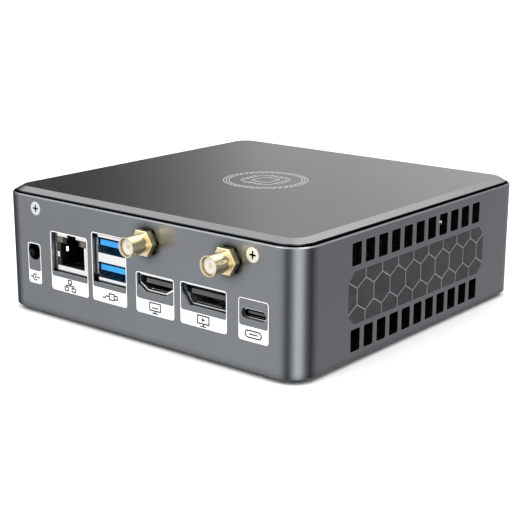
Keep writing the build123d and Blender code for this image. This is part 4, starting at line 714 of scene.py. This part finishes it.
def honeycomb(name, sign):
    """Raised honeycomb on the inlay of one side wall."""
    low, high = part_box("side_inlays")
    face_x = sign * high.x
    shape = bmesh.new()
    row_step = CELL_SIDE * 1.5
    for row in (-1, 0, 1):
        for column in range(-6, 7):
            y = column * CELL_WIDTH + (CELL_WIDTH / 2 if row == 0 else 0)
            z = CELL_MIDDLE + row * row_step
            outer = hexagon(y, z, CELL_SIDE)
            inner = hexagon(y, z, CELL_SIDE - CELL_LINE / math.sqrt(3))
            outer_verts = [shape.verts.new((face_x, mm(a), mm(b))) for a, b in outer]
            inner_verts = [shape.verts.new((face_x, mm(a), mm(b))) for a, b in inner]
            for k in range(6):
                n = (k + 1) % 6
                shape.faces.new((outer_verts[k], outer_verts[n], inner_verts[n], inner_verts[k]))
    bmesh.ops.remove_doubles(shape, verts=shape.verts, dist=mm(0.02))
    middle_y, middle_z = (low.y + high.y) / 2, (low.z + high.z) / 2
    half_y, half_z = (high.y - low.y) / 2, (high.z - low.z) / 2
    cuts = [((0, 0, s), (0, 0, s * half_z)) for s in (-1, 1)]
    cuts += [((0, s, 0), (0, s * half_y, 0)) for s in (-1, 1)]
    for s in (-1, 1):
        for t in (-1, 1):
            slope = (0, s * mm(INLAY_CUT_HEIGHT), t * mm(INLAY_CUT_LENGTH))
            cuts.append((slope, (0, s * half_y, t * (half_z - mm(INLAY_CUT_HEIGHT)))))
    for normal, spot in cuts:
        geometry = shape.verts[:] + shape.edges[:] + shape.faces[:]
        bmesh.ops.bisect_plane(shape, geom=geometry, plane_no=Vector(normal).normalized(), clear_outer=True,
                               plane_co=(face_x, middle_y + spot[1], middle_z + spot[2]))
    lifted = bmesh.ops.extrude_face_region(shape, geom=shape.faces[:])
    moved = [item for item in lifted["geom"] if isinstance(item, bmesh.types.BMVert)]
    bmesh.ops.translate(shape, verts=moved, vec=(sign * INLAY_RAISED, 0, 0))
    return make_piece(name, honeycomb_paint, shape)


honeycomb("honeycomb_right", 1)
honeycomb("honeycomb_left", -1)



def add_bar(shape, low, high, taper):
    """Closed bar from the back face at low.z to an outer face at high.z, which the taper makes smaller."""
    corners = ((0, 0), (1, 0), (1, 1), (0, 1))
    back = [shape.verts.new(((low.x, high.x)[i], (low.y, high.y)[j], low.z)) for i, j in corners]
    front = [shape.verts.new(((low.x + taper, high.x - taper)[i], (low.y + taper, high.y - taper)[j], high.z))
             for i, j in corners]
    shape.faces.new(front)
    shape.faces.new(back[::-1])
    for i in range(4):
        j = (i + 1) % 4
        shape.faces.new((back[i], back[j], front[j], front[i]))


# Contact fingers on the sockets' tongues: node, how many, pitch, width and length in millimetres.
CONTACT_ROWS = (
    ("video_a_tongue", 10, 1.0, 0.45, 3.5),
    ("video_b_tongue", 10, 1.0, 0.45, 3.5),
    ("usb_c_tongue", 11, 0.5, 0.25, 3.0),
)
FINGER_THICKNESS = mm(0.06)
FINGER_SUNK = mm(0.03)
FINGER_TAPER = mm(0.03)
FINGER_SETBACK = mm(0.35)


def contact_fingers(node, count, pitch, width, length):
    """Plated fingers on the upper and lower faces of one tongue, near its front edge."""
    low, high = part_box(node)
    middle = (low.x + high.x) / 2
    front = low.y + FINGER_SETBACK
    shape = bmesh.new()
    for index in range(count):
        x = middle + mm((index - (count - 1) / 2) * pitch)
        left, right = x - mm(width / 2), x + mm(width / 2)
        for face, outward in ((high.z, 1), (low.z, -1)):
            add_bar(shape, Vector((left, front, face - outward * FINGER_SUNK)),
                    Vector((right, front + mm(length), face + outward * FINGER_THICKNESS)), FINGER_TAPER)
    return make_piece(node + "_fingers", nickel, shape)


for row in CONTACT_ROWS:
    contact_fingers(*row)

# Spring of the network socket's shield, which bulges into the cavity from its left wall.
SPRING_PROFILE = ((-37.05, -60.0), (-36.5, -59.4), (-36.5, -59.0), (-37.05, -58.3))
SPRING_LOW = 21.9
SPRING_HIGH = 23.5
spring = bmesh.new()
spring_low = [spring.verts.new((mm(x), mm(y), mm(SPRING_LOW))) for x, y in SPRING_PROFILE]
spring_high = [spring.verts.new((mm(x), mm(y), mm(SPRING_HIGH))) for x, y in SPRING_PROFILE]
spring.faces.new(spring_low)
spring.faces.new(spring_high[::-1])
for i in range(len(SPRING_PROFILE)):
    j = (i + 1) % len(SPRING_PROFILE)
    spring.faces.new((spring_low[i], spring_low[j], spring_high[j], spring_high[i]))
make_piece("network_spring", nickel, spring)

bpy.context.scene.view_settings.view_transform = "Standard"
